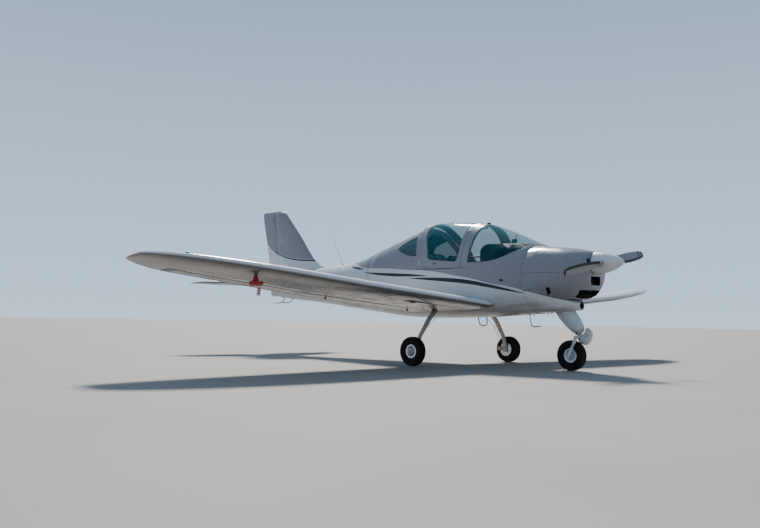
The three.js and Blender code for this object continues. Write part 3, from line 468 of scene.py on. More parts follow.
def gloss_paint(name, colour_marks, grime):
    """Aircraft enamel: clear gloss, faint orange peel, dust and dirt low down"""
    paint = Finish(name, Coat_Weight=0.12, Coat_Roughness=0.08, Specular_IOR_Level=0.26)
    colour = paint.blend(paint.patches(1.6, 4, 0.35, 0.75), WHITE, WHITE_AGED)
    colour = paint.blend(paint.patches(0.9, 2, 0.3, 0.7, 0.0, 0.35), colour, WHITE)
    colour = colour_marks(paint, colour)
    streaks = paint.noise(7.0, 5, paint.stretched((0.25, 1.6, 1.6)))
    low = paint.between(paint.z, 1.02, 0.66)
    dirty = paint.times(paint.between(streaks, 0.45, 0.72), paint.times(low, grime))
    colour = paint.blend(dirty, colour, DUST)
    specks = paint.patches(240.0, 2, 0.70, 0.76, 0.0, 0.25)
    colour = paint.blend(paint.times(specks, low), colour, SOOT)
    return paint.done(colour, paint.patches(5.0, 4, 0.3, 0.8, 0.16, 0.34), 420.0, 0.05, 0.0006)


def hull_marks(paint, colour):
    """Grey above the two-tone line and round the cowl down to its chin, and three navy strokes"""
    over = paint.between(paint.above(paint.x, paint.z, TWO_TONE), 0.0, PAINT_EDGE)
    forward = paint.between(paint.x, GREY_START, GREY_START + 0.005)
    nose = paint.between(paint.x, COWL_BACK, COWL_BACK + 0.0005)
    chin = paint.between(paint.above(paint.x, paint.z, CHIN_LINE), -0.004, -0.003)
    grey = paint.sum("MAXIMUM", paint.times(over, forward), paint.times(nose, chin))
    colour = paint.blend(grey, colour, PEARL_GREY)
    for points, width in ((LONG_STROKE, 0.056), (MIDDLE_STROKE, 0.046), (SHORT_STROKE, 0.034)):
        colour = paint.blend(paint.stroke(paint.x, paint.z, points, width), colour, NAVY)
    return colour


def fin_marks(paint, colour):
    """Grey above the fin's line, a navy band just below it, and a darker cap"""
    rise = paint.above(paint.x, paint.z, FIN_LINE)
    colour = paint.blend(paint.between(rise, 0.0, PAINT_EDGE), colour, PEARL_GREY)
    band = paint.times(paint.between(rise, -0.030, -0.027), paint.between(rise, -0.003, -0.006))
    colour = paint.blend(band, colour, NAVY)
    cap = paint.above(paint.x, paint.z, FIN_CAP)
    return paint.blend(paint.between(cap, 0.0, PAINT_EDGE), colour, CAP_GREY)


def wing_marks(paint, colour):
    """A dark walkway on each root, and painted shade: a dark tint where the surface faces the ground"""
    normal = paint.node("ShaderNodeNewGeometry").outputs["Normal"]
    upward = paint.node("ShaderNodeSeparateXYZ", (normal,)).outputs["Z"]
    # Painted shade: faces turned down are darkened towards dark brown, standing in for the shade under the
    # wings
    colour = paint.blend(paint.between(upward, 0.1, -0.75, 0.0, 0.80), colour, UNDERSIDE_SHADE)
    inboard = paint.between(paint.sum("ABSOLUTE", paint.y), WALK_REACH, WALK_REACH - 0.005)
    walk = paint.times(inboard, paint.between(upward, 0.5, 0.7))
    ends = paint.times(paint.between(paint.x, WALK_AFT, WALK_AFT + 0.005),
                       paint.between(paint.x, WALK_FORE, WALK_FORE - 0.005))
    grit = paint.blend(paint.patches(900.0, 1, 0.3, 0.7), (0.10, 0.105, 0.11), (0.22, 0.22, 0.22))
    return paint.blend(paint.times(walk, ends), colour, grit)


def leg_enamel():
    paint = Finish("leg_enamel", Specular_IOR_Level=0.45)
    worn = paint.patches(18.0, 5, 0.4, 0.75)
    colour = paint.blend(worn, (0.50, 0.465, 0.415), (0.38, 0.345, 0.30))
    splash = paint.times(paint.between(paint.z, 0.55, 0.18), paint.patches(60, 3, 0.5, 0.7))
    colour = paint.blend(splash, colour, (0.16, 0.13, 0.10))
    return paint.done(colour, paint.between(worn, 0, 1, 0.32, 0.5), 160.0, 0.08, 0.0008)


def tyre_rubber():
    rubber = Finish("tyre_rubber", Specular_IOR_Level=0.2)
    colour = rubber.blend(rubber.patches(24.0, 5, 0.42, 0.75), (0.005, 0.005, 0.0055), (0.014, 0.013, 0.012))
    sole = rubber.times(rubber.between(rubber.z, 0.05, 0.0), 0.3)
    colour = rubber.blend(sole, colour, (0.07, 0.06, 0.05))
    return rubber.done(colour, rubber.patches(11.0, 3, 0.3, 0.7, 0.6, 0.85), 700.0, 0.25, 0.0006)


def cast_metal(name, colour, metal, rough):
    cast_part = Finish(name, Metallic=metal)
    colour = cast_part.blend(cast_part.patches(40.0, 4, 0.45, 0.75), colour, shade(colour, 0.62))
    return cast_part.done(colour, cast_part.patches(16.0, 4, 0.3, 0.7, *rough), 520.0, 0.12)


def moulded(name, colour, rough=(0.4, 0.6), grain=900.0, strength=0.15):
    plastic = Finish(name, Specular_IOR_Level=0.4)
    colour = plastic.blend(plastic.patches(14.0, 4, 0.35, 0.75), colour, shade(colour, 0.72, 0.01))
    return plastic.done(colour, plastic.patches(30.0, 3, 0.3, 0.7, *rough), grain, strength)


def tinted_glass(name, share, low, high):
    """Clear sheet with its tint from a low colour at the sill to a high one at the top; the darker sill and
    lighter top are painted shade and painted light, for the dark cabin and the sky seen through the roof
    """
    glass = Finish(name, Alpha=share, Specular_IOR_Level=0.16, IOR=1.45, Roughness=0.09)
    # Painted light and shade: the glass is coloured darker at the sill and lighter towards the top
    colour = glass.blend(glass.between(glass.z, 1.35, 1.95), low, high)
    glass.plug(glass.shader.inputs["Base Color"], colour)
    glass.bump(glass.noise(3.0, 1), 0.03, 0.002)
    return glass.material


def woven(name, colour, second, scale, sheen=0.4):
    cloth = Finish(name, Sheen_Weight=sheen, Sheen_Roughness=0.5, Specular_IOR_Level=0.2)
    place = cloth.stretched((scale, scale, scale))
    weave = cloth.node("ShaderNodeTexChecker", {"Vector": place, "Scale": 1.0}).outputs["Fac"]
    mixed = cloth.blend(cloth.patches(36.0, 5, 0.38, 0.72), colour, second)
    mixed = cloth.blend(cloth.times(weave, 0.35), mixed, shade(colour, 0.5))
    return cloth.done(mixed, cloth.patches(60.0, 3, 0.3, 0.7, 0.8, 0.95), scale, 0.4, 0.0008)


def flag_cloth():
    """Red cloth with pale bars across its middle"""
    cloth = Finish("flag_cloth", Sheen_Weight=0.3, Specular_IOR_Level=0.2)
    wave = cloth.sum("PINGPONG", cloth.less(cloth.z, 0.812), 0.0125)
    beside = cloth.sum("ABSOLUTE", cloth.less(cloth.x, COVER_X + 0.060))
    bars = cloth.times(cloth.between(wave, 0.0055, 0.0065), cloth.between(beside, 0.024, 0.022))
    red = cloth.blend(cloth.patches(30, 4, 0.4, 0.7), (0.46, 0.012, 0.025), (0.33, 0.01, 0.02))
    colour = cloth.blend(bars, red, (0.75, 0.72, 0.70))
    return cloth.done(colour, cloth.patches(60.0, 3, 0.3, 0.7, 0.75, 0.9), 1200.0, 0.3)


def blade_paint():
    """Grey blades with a black leading strip, dark bands on one blade and a dark tip on the other"""
    paint = Finish("blade_paint", Coat_Weight=0.05, Coat_Roughness=0.15, Specular_IOR_Level=0.25)
    rise = paint.less(paint.z, THRUST_LINE.z)
    cosine, sine = math.cos(BLADE_TILT), math.sin(BLADE_TILT)
    reach = paint.sum("ADD", paint.times(paint.y, cosine), paint.times(rise, sine))
    across = paint.less(paint.times(rise, cosine), paint.times(paint.y, sine))
    lead = paint.times(paint.times(paint.sum("SIGN", reach), across), -1.0)
    out = paint.sum("ABSOLUTE", reach)
    strip = paint.between(paint.above(out, lead, BLADE_EDGE), -0.001, 0.001)
    colour = paint.blend(paint.patches(9, 4, 0.4, 0.7), (0.23, 0.23, 0.245), (0.20, 0.20, 0.21))
    colour = paint.blend(paint.times(strip, paint.between(out, 0.2, 0.205)), colour, (0.006, 0.006, 0.007))
    far = paint.between(reach, -0.002, 0.002)
    for start, end, tone in BLADE_BANDS:
        band = paint.times(paint.between(out, start, start + 0.002), paint.between(out, end, end - 0.002))
        colour = paint.blend(paint.times(band, far), colour, tone)
    tip = paint.times(paint.between(out, 0.885, 0.888), paint.between(reach, 0.002, -0.002))
    colour = paint.blend(tip, colour, (0.015, 0.015, 0.017))
    return paint.done(colour, paint.patches(20.0, 4, 0.3, 0.7, 0.28, 0.42), 300.0, 0.05)


def lens(name, colour):
    glass = Finish(name, Transmission_Weight=0.6, IOR=1.46, Coat_Weight=0.6)
    ribs = glass.noise(160.0, 1)
    colour = glass.blend(ribs, colour, shade(colour, 0.6))
    return glass.done(colour, glass.between(ribs, 0.3, 0.7, 0.06, 0.14), ribs, 0.2, 0.0008)


# Each finish has the slot that its pieces usually have
FINISHES = {
    "hull": ("white_paint", gloss_paint("hull_enamel", hull_marks, 0.75)),
    "fin": ("white_paint", gloss_paint("fin_enamel", fin_marks, 0.3)),
    "wing": ("white_paint", gloss_paint("wing_enamel", wing_marks, 0.3)),
    "white": ("white_paint", gloss_paint("white_enamel", lambda paint, colour: colour, 0.6)),
    "leg": ("leg_paint", leg_enamel()),
    "tyre": ("tyre_rubber", tyre_rubber()),
    "silver": ("wheel_metal", cast_metal("wheel_silver", (0.66, 0.67, 0.68), 0.75, (0.3, 0.5))),
    "steel": ("bare_metal", cast_metal("bright_steel", (0.58, 0.585, 0.59), 1.0, (0.22, 0.4))),
    "engine": ("engine_metal", cast_metal("engine_casting", (0.16, 0.16, 0.165), 0.6, (0.45, 0.65))),
    # Both glazings are painted darker at the sill and lighter towards the top
    "glass": ("tinted_glazing",
              tinted_glass("teal_glazing", 0.26, (0.004, 0.075, 0.095), (0.010, 0.20, 0.23))),
    "rear_glass": ("tinted_glazing",
                   tinted_glass("smoked_teal_glazing", 0.55, (0.05, 0.11, 0.13), (0.10, 0.22, 0.25))),
    "black": ("dark_trim", moulded("black_moulding", (0.012, 0.0125, 0.0135))),
    "antenna": ("dark_trim", moulded("antenna_black", (0.03, 0.03, 0.033), (0.5, 0.65))),
    # Near-black painted shade, for the inside of openings, ducts and scoops
    "shade_black": ("dark_trim", moulded("painted_shade_black", (0.008, 0.008, 0.009), (0.75, 0.9))),
    "seal": ("dark_trim", moulded("seal_rubber", (0.03, 0.031, 0.033), (0.6, 0.75), 400.0)),
    "trim": ("dark_trim", moulded("grey_lining", (0.36, 0.375, 0.385), (0.75, 0.9), 700.0, 0.3)),
    "panel": ("dark_trim", moulded("panel_crackle", (0.014, 0.018, 0.026), (0.55, 0.7), 1400.0, 0.35)),
    "bolster": ("dark_trim", moulded("bolster_vinyl", (0.05, 0.065, 0.072), (0.42, 0.55), 800.0, 0.3)),
    "dial": ("dark_trim", moulded("dial_face", (0.012, 0.012, 0.013), (0.35, 0.45), 600.0, 0.05)),
    "marks": ("dark_trim", moulded("dial_marks", (0.78, 0.78, 0.74), (0.5, 0.6), 600.0, 0.05)),
    "carpet": ("dark_trim", woven("floor_carpet", (0.06, 0.065, 0.07), (0.035, 0.037, 0.04), 300.0, 0.3)),
    "seat": ("seat_cloth", woven("seat_weave", (0.13, 0.30, 0.32), (0.09, 0.22, 0.24), 420.0)),
    "webbing": ("seat_cloth", woven("belt_webbing", (0.05, 0.05, 0.055), (0.035, 0.035, 0.04), 900.0, 0.2)),
    "cover": ("cover_cloth", woven("cover_cloth", (0.45, 0.012, 0.025), (0.30, 0.01, 0.02), 600.0)),
    "ribbon": ("cover_cloth", flag_cloth()),
    "blade": ("blade_paint", blade_paint()),
    "red_lens": ("tinted_glazing", lens("red_lens", (0.7, 0.02, 0.02))),
    "green_lens": ("tinted_glazing", lens("green_lens", (0.02, 0.5, 0.12))),
    "clear_lens": ("tinted_glazing", lens("clear_lens", (0.85, 0.87, 0.88))),
}


# Camera at the photograph's place, and a plain pale studio
def camera():
    place = Vector((8.29, -8.71, 0.59))
    yaw, pitch, roll = math.radians(45.4), math.radians(3.92), math.radians(0.95)
    look = Vector((-math.sin(yaw) * math.cos(pitch), math.cos(yaw) * math.cos(pitch), math.sin(pitch)))
    level = Vector((math.cos(yaw), math.sin(yaw), 0))
    right = level * math.cos(roll) + level.cross(look) * math.sin(roll)
    up = right.cross(look)
    data = bpy.data.cameras.new("view")
    sensor, focal_pixels, picture_width = 36, 809, 760
    data.sensor_width = sensor
    data.lens = sensor * focal_pixels / picture_width
    data.clip_end = 500
    eye = bpy.data.objects.new("view", data)
    bpy.context.scene.collection.objects.link(eye)
    eye.matrix_world = Matrix.Translation(place) @ Matrix((right, up, -look)).transposed().to_4x4()
    bpy.context.scene.camera = eye


def studio():
    deselect()
    bpy.ops.mesh.primitive_plane_add(size=240, location=(0, 0, 0))
    floor = bpy.context.object
    floor.name = "studio_floor"
    ground = Finish("studio_floor")
    colour = ground.blend(ground.patches(0.6, 4, 0.35, 0.7), (0.27, 0.24, 0.215), (0.245, 0.22, 0.195))
    floor.data.materials.append(ground.done(colour, 0.85, ground.noise(90.0, 3), 0.1, 0.002))
    world = bpy.data.worlds.new("soft_sky")
    bpy.context.scene.world = world
    world.use_nodes = True
    nodes, links = world.node_tree.nodes, world.node_tree.links
    split = nodes.new("ShaderNodeSeparateXYZ")
    links.new(nodes.new("ShaderNodeTexCoord").outputs["Generated"], split.inputs[0])
    ramp = nodes.new("ShaderNodeValToRGB")
    low, high = ramp.color_ramp.elements
    low.color, low.position = (0.58, 0.76, 0.96, 1), 0.0
    high.color, high.position = (0.24, 0.36, 0.52, 1), 0.45
    links.new(split.outputs["Z"], ramp.inputs[0])
    links.new(ramp.outputs[0], nodes["Background"].inputs["Color"])
    nodes["Background"].inputs["Strength"].default_value = 1.25
    key = bpy.data.lights.new("soft_key", "SUN")
    key.energy = 7.5
    key.angle = math.radians(8)
    key.color = (1.0, 0.96, 0.90)
    lamp_key = bpy.data.objects.new("soft_key", key)
    bpy.context.scene.collection.objects.link(lamp_key)
    lamp_key.rotation_euler = Vector((-0.55, 0.50, 0.67)).to_track_quat("Z", "Y").to_euler()


# CAD nodes that keep their shape: a merged, smooth copy with its real finish, lined on its inner faces, in
# grey in the cabin and in near-black painted shade inside the cowl, the tail cone and the belly duct
# Walls of the cowl's openings, as boxes in x and z, and how far a face there turns inwards
OPENING_WALLS = ((2.7, 2.9, 0.90, 1.02), (2.98, 3.2, 0.96, 0.99))
INWARD_LEAN, FACES_FORE_AFT, FACES_DOWN = -0.004, 0.999, -0.98


def in_duct(face):
    return face.center.x > DUCT_START_X and math.hypot(face.center.y, face.center.z - DUCT_AXIS_Z) < DUCT_BORE


def looks_inwards(face):
    centre, normal = face.center, face.normal
    if Vector((0, centre.y, centre.z - HULL_CENTRE)).dot(normal) < INWARD_LEAN:
        return True
    walls = [box for box in OPENING_WALLS if box[0] < centre.x < box[1] and box[2] < centre.z < box[3]]
    return bool(walls) and (abs(normal.x) > FACES_FORE_AFT or normal.z < FACES_DOWN)


def skin(node, finish, angle):
    """A finished copy of a CAD node that takes its place"""
    source = frame["nodes"][node]
    body = source["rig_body"]
    copy = copied(source)
    for key in list(copy.keys()):
        del copy[key]
    copy.parent = None
    copy.matrix_world = Matrix.Identity(4)
    edited(copy, (bpy.ops.mesh.remove_doubles, {"threshold": WELD}),
           (bpy.ops.mesh.dissolve_degenerate, {"threshold": WELD}))
    return fit(copy, node + "_skin", finish, body, (node,), angle)


def airframe_skins():
    for nodes, lining, lined in (
            (("fuselage_cabin", "rear_deck", "canopy_frame", "windscreen_hoop"), "trim", looks_inwards),
            # Inner faces of the cowl, the tail cone and the duct get near-black painted shade
            (("cowl_upper", "cowl_lower", "tail_cone"), "shade_black", looks_inwards),
            (("belly_fairing",), "shade_black", in_duct)):
        for node in nodes:
            copy = skin(node, "hull", CRISP)
            copy.data.materials.append(FINISHES[lining][1])
            for face in copy.data.polygons:
                if lined(face):
                    face.material_index = 1
    for name, _ in SIDES:
        for kind in ("wing", "flap", "aileron", "tailplane", "elevator"):
            skin(f"{kind}_{name}", "wing", ROUND)
        skin(f"rear_window_{name}", "rear_glass", CRISP)
        skin(f"main_leg_{name}", "leg", ROUND)
        skin(f"control_stick_{name}", "black", ROUND)
    for nodes, finish, angle in (
            (("fin", "rudder"), "fin", CRISP), (("windscreen", "canopy_glass"), "glass", CRISP),
            (("nose_leg", "nose_fork", "spinner"), "white", ROUND), (("propeller",), "blade", SOFT),
            (("engine_block",), "engine", CRISP), (("instrument_panel",), "panel", CRISP),
            (("seat_bench",), "carpet", CRISP), (("vent_tube", "pitot_tube"), "steel", ROUND),
            (("tail_skid", "entry_step_port"), "leg", ROUND), (("whip_antenna",), "antenna", ROUND)):
        for node in nodes:
            skin(node, finish, angle)


# Side-view lines on the hull: (x, height) points for panes, (height, x) pairs for arches
GLASS_LOW = ((0.912, 1.460), (0.935, 1.425), (0.975, 1.411), (1.180, 1.391), (1.395, 1.370), (1.425, 1.378),
             (1.440, 1.410))
SCREEN_BASE = ((1.618, 1.350), (1.760, 1.3515), (1.894, 1.353), (1.985, 1.366), (2.065, 1.381),
               (2.145, 1.410), (2.215, 1.441), (2.280, 1.473), (2.335, 1.508))
REAR_PANE = ((0.218, 1.600), (0.232, 1.620), (0.300, 1.680), (0.420, 1.726), (0.545, 1.760), (0.561, 1.752),
             (0.608, 1.622), (0.655, 1.492), (0.645, 1.479), (0.560, 1.484), (0.430, 1.512), (0.320, 1.552),
             (0.228, 1.592))
GLASS_AFT = ((1.460, 0.912), (1.584, 0.868), (1.754, 0.778), (1.900, 0.722), (2.300, 0.690))
GLASS_FORE = ((1.410, 1.440), (1.500, 1.448), (2.300, 1.448))
SCREEN_AFT = ((1.350, 1.6135), (1.600, 1.6215), (2.100, 1.6135))
SCREEN_FORE = ((1.562, 2.392), (2.0, 2.392))
HOOP_SPLIT = ((1.282, 1.500), (1.600, 1.508), (2.100, 1.500))
CANOPY_END = ((1.282, 0.688), (1.304, 0.694), (1.316, 0.730), (1.336, 0.768), (1.490, 0.743), (1.610, 0.705),
              (1.745, 0.640), (2.000, 0.560))
SEAL_LIFT = -0.0015
# An arch's height is first taken as the crown's, and then found again in some rounds
CROWN, ARCH_ROUNDS = 1.9, 5


def place_on(line, height):
    """The x of a side-view line, given as (height, x) pairs, at a height"""
    for (low, start), (high, end) in zip(line, line[1:]):
        if height <= high:
            return start + (end - start) * max(0.0, (height - low) / (high - low))
    return line[-1][1]


def arch(line, low, lift=0.0, steps=16):
    """Points along a side-view line from its starboard end over the top to its port end"""
    points = []
    foot, _ = side_of_hull(place_on(line, low), low, PORT)
    lowest = math.atan2(foot.z - HULL_CENTRE, foot.y)
    for step in range(-steps, steps + 1):
        angle = lowest + (math.pi / 2 - lowest) * (1 - abs(step) / steps)
        if step < 0:
            angle = math.pi - angle
        height = CROWN if abs(step) < steps else low
        for _ in range(ARCH_ROUNDS):
            place, _ = round_hull(place_on(line, height), angle, lift)
            height = place.z
        points.append(place)
    return points


def canopy_loop():
    port = along_side(GLASS_LOW[-2:0:-1], PORT, SEAL_LIFT)
    starboard = along_side(GLASS_LOW[1:-1], STARBOARD, SEAL_LIFT)
    return arch(GLASS_FORE, 1.410, SEAL_LIFT) + port + arch(GLASS_AFT, 1.460, SEAL_LIFT)[::-1] + starboard


def screen_loop():
    port = along_side(SCREEN_BASE, PORT, SEAL_LIFT)
    starboard = along_side(SCREEN_BASE[::-1], STARBOARD, SEAL_LIFT)
    crossing = arch(SCREEN_FORE, 1.562, SEAL_LIFT, 8)[::-1]
    return arch(SCREEN_AFT, 1.350, SEAL_LIFT) + port + crossing + starboard


def seals():
    fit(pipe(canopy_loop(), 0.0042, True), "canopy_pane_seal", "seal", "canopy")
    fit(pipe(screen_loop(), 0.0046, True), "windscreen_seal", "seal")
    for name, side in SIDES:
        fit(pipe(along_side(REAR_PANE, side, -0.001), 0.004, True), f"rear_pane_seal_{name}", "seal")
    fit(pipe(arch(HOOP_SPLIT, 1.290, -0.004), 0.0036), "hoop_seal", "seal")
    edge = [point + Vector((0.007, 0, 0)) for point in arch(CANOPY_END, 1.345, 0.001)]
    fit(pipe(edge, 0.0065, rounds=2), "canopy_end_moulding", "white", "canopy")


def panel_joints():
    """The cowl's back edge, its bowl and its split, its hatch, and the joint of the tail cone"""
    ring = [round_hull(COWL_BACK + 0.0008, angle)[0] for angle in shares_of_turn(72)]
    fit(pipe(ring, 0.0014, True, 0), "cowl_joint_ring", "trim")
    bowl = [round_hull(2.985, math.radians(degrees))[0] for degrees in range(12, 169, 6)]
    tail = [round_hull(-0.3710, angle)[0] for angle in shares_of_turn(60)]
    lines = [pipe(bowl, 0.0012, False, 0), pipe(tail, 0.0012, True, 0)]
    for _, side in SIDES:
        split = along_side([(2.455 + 0.045 * step, COWL_SPLIT_Z + 0.0006) for step in range(16)], side)
        hatch = along_side([(2.517, z) for z in (1.190, 1.14, 1.09, 1.04)], side)
        lines += [pipe(split, 0.0016, False, 0), pipe(hatch, 0.0013, False, 0)]
    fit(fuse(lines), "panel_joint_lines", "seal")


def screw():
    """A fastener with a sunk middle, 11 mm across"""
    head = peg(-0.001, 0.0008, 0.0055, 0.0050, 12)
    choose(head)
    bpy.ops.object.mode_set(mode="EDIT")
    bpy.ops.mesh.select_mode(type="FACE")
    bpy.ops.mesh.select_all(action="DESELECT")
    bpy.ops.object.mode_set(mode="OBJECT")
    top = max(head.data.polygons, key=lambda face: face.center.z)
    top.select = True
    bpy.ops.object.mode_set(mode="EDIT")
    bpy.ops.mesh.inset(thickness=0.0016)
    bpy.ops.transform.translate(value=(0, 0, -0.0006))
    bpy.ops.object.mode_set(mode="OBJECT")
    return head


def fasteners():
    row = [(x, COWL_SPLIT_Z + rise) for x in (2.52, 2.61, 2.70, 2.79, 2.88, 2.953, 3.03, 3.10)
           for rise in (-0.016, 0.016)]
    row += [(x, z) for z in (1.168, 1.142, 1.116, 1.090) for x in (2.529, 2.953)]
    places = [side_of_hull(x, z, side, HEAD_LIFT) for _, side in SIDES for x, z in row]
    for x, start, end in ((2.466, 15, 170), (2.434, 15, 170), (2.466, 200, 345)):
        places += [round_hull(x, math.radians(degrees), HEAD_LIFT) for degrees in range(start, end, 14)]
    fit(spread(screw(), places), "cowl_fasteners", "trim", slot="bare_metal")


# Soft pieces: seats, the air-data tube's cover and its ribbon
# Belt paths: x, share of the offset from the seat's middle, and height
SHOULDER_BELT = ((0.836, 1.0, 1.515), (0.872, 1.0, 1.505), (0.932, 0.98, 1.36), (0.943, 0.95, 1.15),
                 (0.958, 1.0, 0.985), (1.03, 1.15, 0.940), (1.13, 0.5, 0.936))
LAP_BELT = ((0.99, 1.0, 0.87), (1.00, 0.99, 0.935), (1.06, 0.62, 0.942), (1.13, 0.2, 0.938))
CHANNEL_DEPTH, CHANNEL_WIDTH = 0.006, 0.007
PAD_VOXEL, COVER_VOXEL = 0.009, 0.0045
NECK_Z, NECK_WIDTH = 0.996, 0.009
FOLD_DEPTH, GATHER_DEPTH = 0.0022, 0.0055
SWELL_FRAMES = 20


def swell(piece, cap, pressure=4.0, held=lambda point: False):
    """Blows a closed cloth shape up, no point further than cap, and keeps what is held where it was"""
    before = [vertex.co.copy() for vertex in piece.data.vertices]
    cloth = piece.modifiers.new("cloth", "CLOTH")
    cloth.settings.quality = 5
    cloth.settings.use_pressure = True
    cloth.settings.uniform_pressure_force = pressure
    cloth.settings.effector_weights.gravity = 0
    cloth.point_cache.frame_start = 1
    cloth.point_cache.frame_end = SWELL_FRAMES
    for frame_number in range(1, SWELL_FRAMES + 1):
        bpy.context.scene.frame_set(frame_number)
    choose(piece)
    bpy.ops.object.modifier_apply(modifier=cloth.name)
    bpy.context.scene.frame_set(1)
    for vertex, start in zip(piece.data.vertices, before):
        move = vertex.co - start
        if held(start):
            vertex.co = start
        elif move.length > cap:
            vertex.co = start + move * (cap / move.length)


def channels(piece, *lines):
    """Presses sewn channels into a pad. Each line gives a point's distance from it"""
    for vertex in piece.data.vertices:
        press = sum(math.exp(-(line(vertex.co) / CHANNEL_WIDTH) ** 2) for line in lines)
        vertex.co -= vertex.normal * CHANNEL_DEPTH * min(press, 1.0)


def remeshed(piece, voxel):
    return modify(piece, "REMESH", mode="VOXEL", voxel_size=voxel, use_smooth_shade=True)


def pad(low, high, ease):
    piece = soften(block(low, high, 0), ease, 4)
    return remeshed(piece, PAD_VOXEL)


def leaned(piece, degrees, foot):
    """Leans a piece back about a line along Y through its foot"""
    turn = {"value": math.radians(degrees), "orient_axis": "Y", "center_override": foot}
    return edited(piece, (bpy.ops.transform.rotate, turn))


def finer(piece):
    return modify(piece, "SUBSURF", levels=1, render_levels=1)


def seat_pads():
    base = pad((0.935, SEAT_Y - 0.190, 0.848), (1.348, SEAT_Y + 0.190, 0.916), 0.026)
    swell(base, 0.010, held=lambda point: point.z < 0.856)
    channels(base, lambda p: p.y - SEAT_Y + 0.118, lambda p: p.y - SEAT_Y - 0.118,
             lambda p: (p.x - 1.265) * 2 if abs(p.y - SEAT_Y) < 0.118 else 1.0)
    back = pad((0.842, SEAT_Y - 0.188, 0.905), (0.914, SEAT_Y + 0.188, 1.500), 0.028)
    swell(back, 0.010, held=lambda point: point.x < 0.850)
    channels(back, lambda p: p.y - SEAT_Y + 0.120, lambda p: p.y - SEAT_Y - 0.120,
             lambda p: p.z - 1.115 if abs(p.y - SEAT_Y) < 0.12 else 1.0,
             lambda p: p.z - 1.300 if abs(p.y - SEAT_Y) < 0.12 else 1.0)
    leaned(back, 3.5, (0.88, SEAT_Y, 0.905))
    pads = ((base, "base"), (back, "back"))
    return [(finer(piece), part) for piece, part in pads]


def seat_welt(centre, x_low=0.944, x_high=1.350, half=0.186, height=0.908, corner=0.03):
    """A piped seam round the cushion's edge, in a level plane"""
    points = []
    aft, fore = x_low + corner, x_high - corner
    right, left = centre - half + corner, centre + half - corner
    for quarter, (x, y) in enumerate(((fore, left), (aft, left), (aft, right), (fore, right))):
        for step in range(6):
            angle = math.pi / 2 * (quarter + step / 5)
            points.append((x + corner * math.cos(angle), y + corner * math.sin(angle), height))
    return pipe(points, 0.0032, True)


def strap(points, width=0.044, thick=0.0022):
    """Flat webbing along a path, its width across Y"""
    piece = as_mesh(drawn_line(points, False, 4))
    edited(piece, (bpy.ops.transform.translate, {"value": (0, -width / 2, 0)}),
           (bpy.ops.mesh.extrude_edges_move, {"TRANSFORM_OT_translate": {"value": (0, width, 0)}}),
           (bpy.ops.mesh.select_all, {"action": "SELECT"}),
           (bpy.ops.mesh.normals_make_consistent, {"inside": False}))
    return modify(piece, "SOLIDIFY", thickness=thick, offset=0)


def seats():
    masters = seat_pads()
    for name, side in SIDES:
        centre = SEAT_Y * side
        for master, part in masters:
            piece = copied(master)
            piece.matrix_world = Matrix.Translation((0, centre - SEAT_Y, 0))
            fit(piece, f"seat_{name}_{part}_pad", "seat", replaces=(f"seat_{name}",), angle=CLOTH_ANGLE)
        fit(seat_welt(centre), f"seat_{name}_welt", "bolster")
        shell = block((0.800, centre - 0.196, 0.900), (0.835, centre + 0.196, 1.515), 0.012)
        pan = block((0.860, centre - 0.198, 0.838), (1.352, centre + 0.198, 0.850), 0.004)
        leaned(shell, 2.5, (0.82, centre, 0.905))
        fit(fuse([shell, pan]), f"seat_{name}_shell", "bolster")
        belts = [strap([(x, centre + offset * share, z) for x, share, z in path])
                 for path, reach in ((SHOULDER_BELT, 0.085), (LAP_BELT, 0.19)) for offset in (-reach, reach)]
        fit(fuse(belts), f"belts_{name}", "webbing", angle=WEBBING_ANGLE)
        buckle = rod((1.13, centre, 0.934), (1.13, centre, 0.952), 0.030, 0.027, 28, 0.003)
        fit(buckle, f"buckle_{name}", "steel")
    for master, _ in masters:
        bpy.data.objects.remove(master)


def tube_cover():
    """A padded cloth sock over the tube and its mast, with a gathered neck"""
    tail = (COVER_X - 0.080, COVER_Y, COVER_Z - 0.002)
    along = rod(tail, (COVER_X + 0.116, COVER_Y, COVER_Z), 0.025, 0.020, 24)
    upright = rod((COVER_X, COVER_Y, COVER_Z), (COVER_X, COVER_Y, 1.016), 0.036, 0.025, 24)
    sock = remeshed(fuse([along, upright]), COVER_VOXEL)
    swell(sock, 0.007, 3.0)
    for vertex in sock.data.vertices:
        place = vertex.co
        fold = math.sin(place.x * 210 + 3 * math.sin(place.z * 90)) * math.sin(place.z * 130 + place.x * 60)
        gather = math.exp(-((place.z - NECK_Z) / NECK_WIDTH) ** 2)
        vertex.co = place + vertex.normal * (FOLD_DEPTH * fold - GATHER_DEPTH * gather)
    finer(sock)
    fit(sock, "pitot_cover_sock", "cover", replaces=("pitot_cover",), angle=CLOTH_ANGLE)
    ring = [(COVER_X + 0.025 * math.cos(angle), COVER_Y + 0.025 * math.sin(angle), 0.997)
            for angle in shares_of_turn(20)]
    seam = [(COVER_X - 0.078 + 0.0135 * step, COVER_Y, COVER_Z - 0.031 + 0.0004 * step) for step in range(15)]
    fit(fuse([pipe(ring, 0.0020, True), pipe(seam, 0.0016)]), "pitot_cover_binding", "cover")


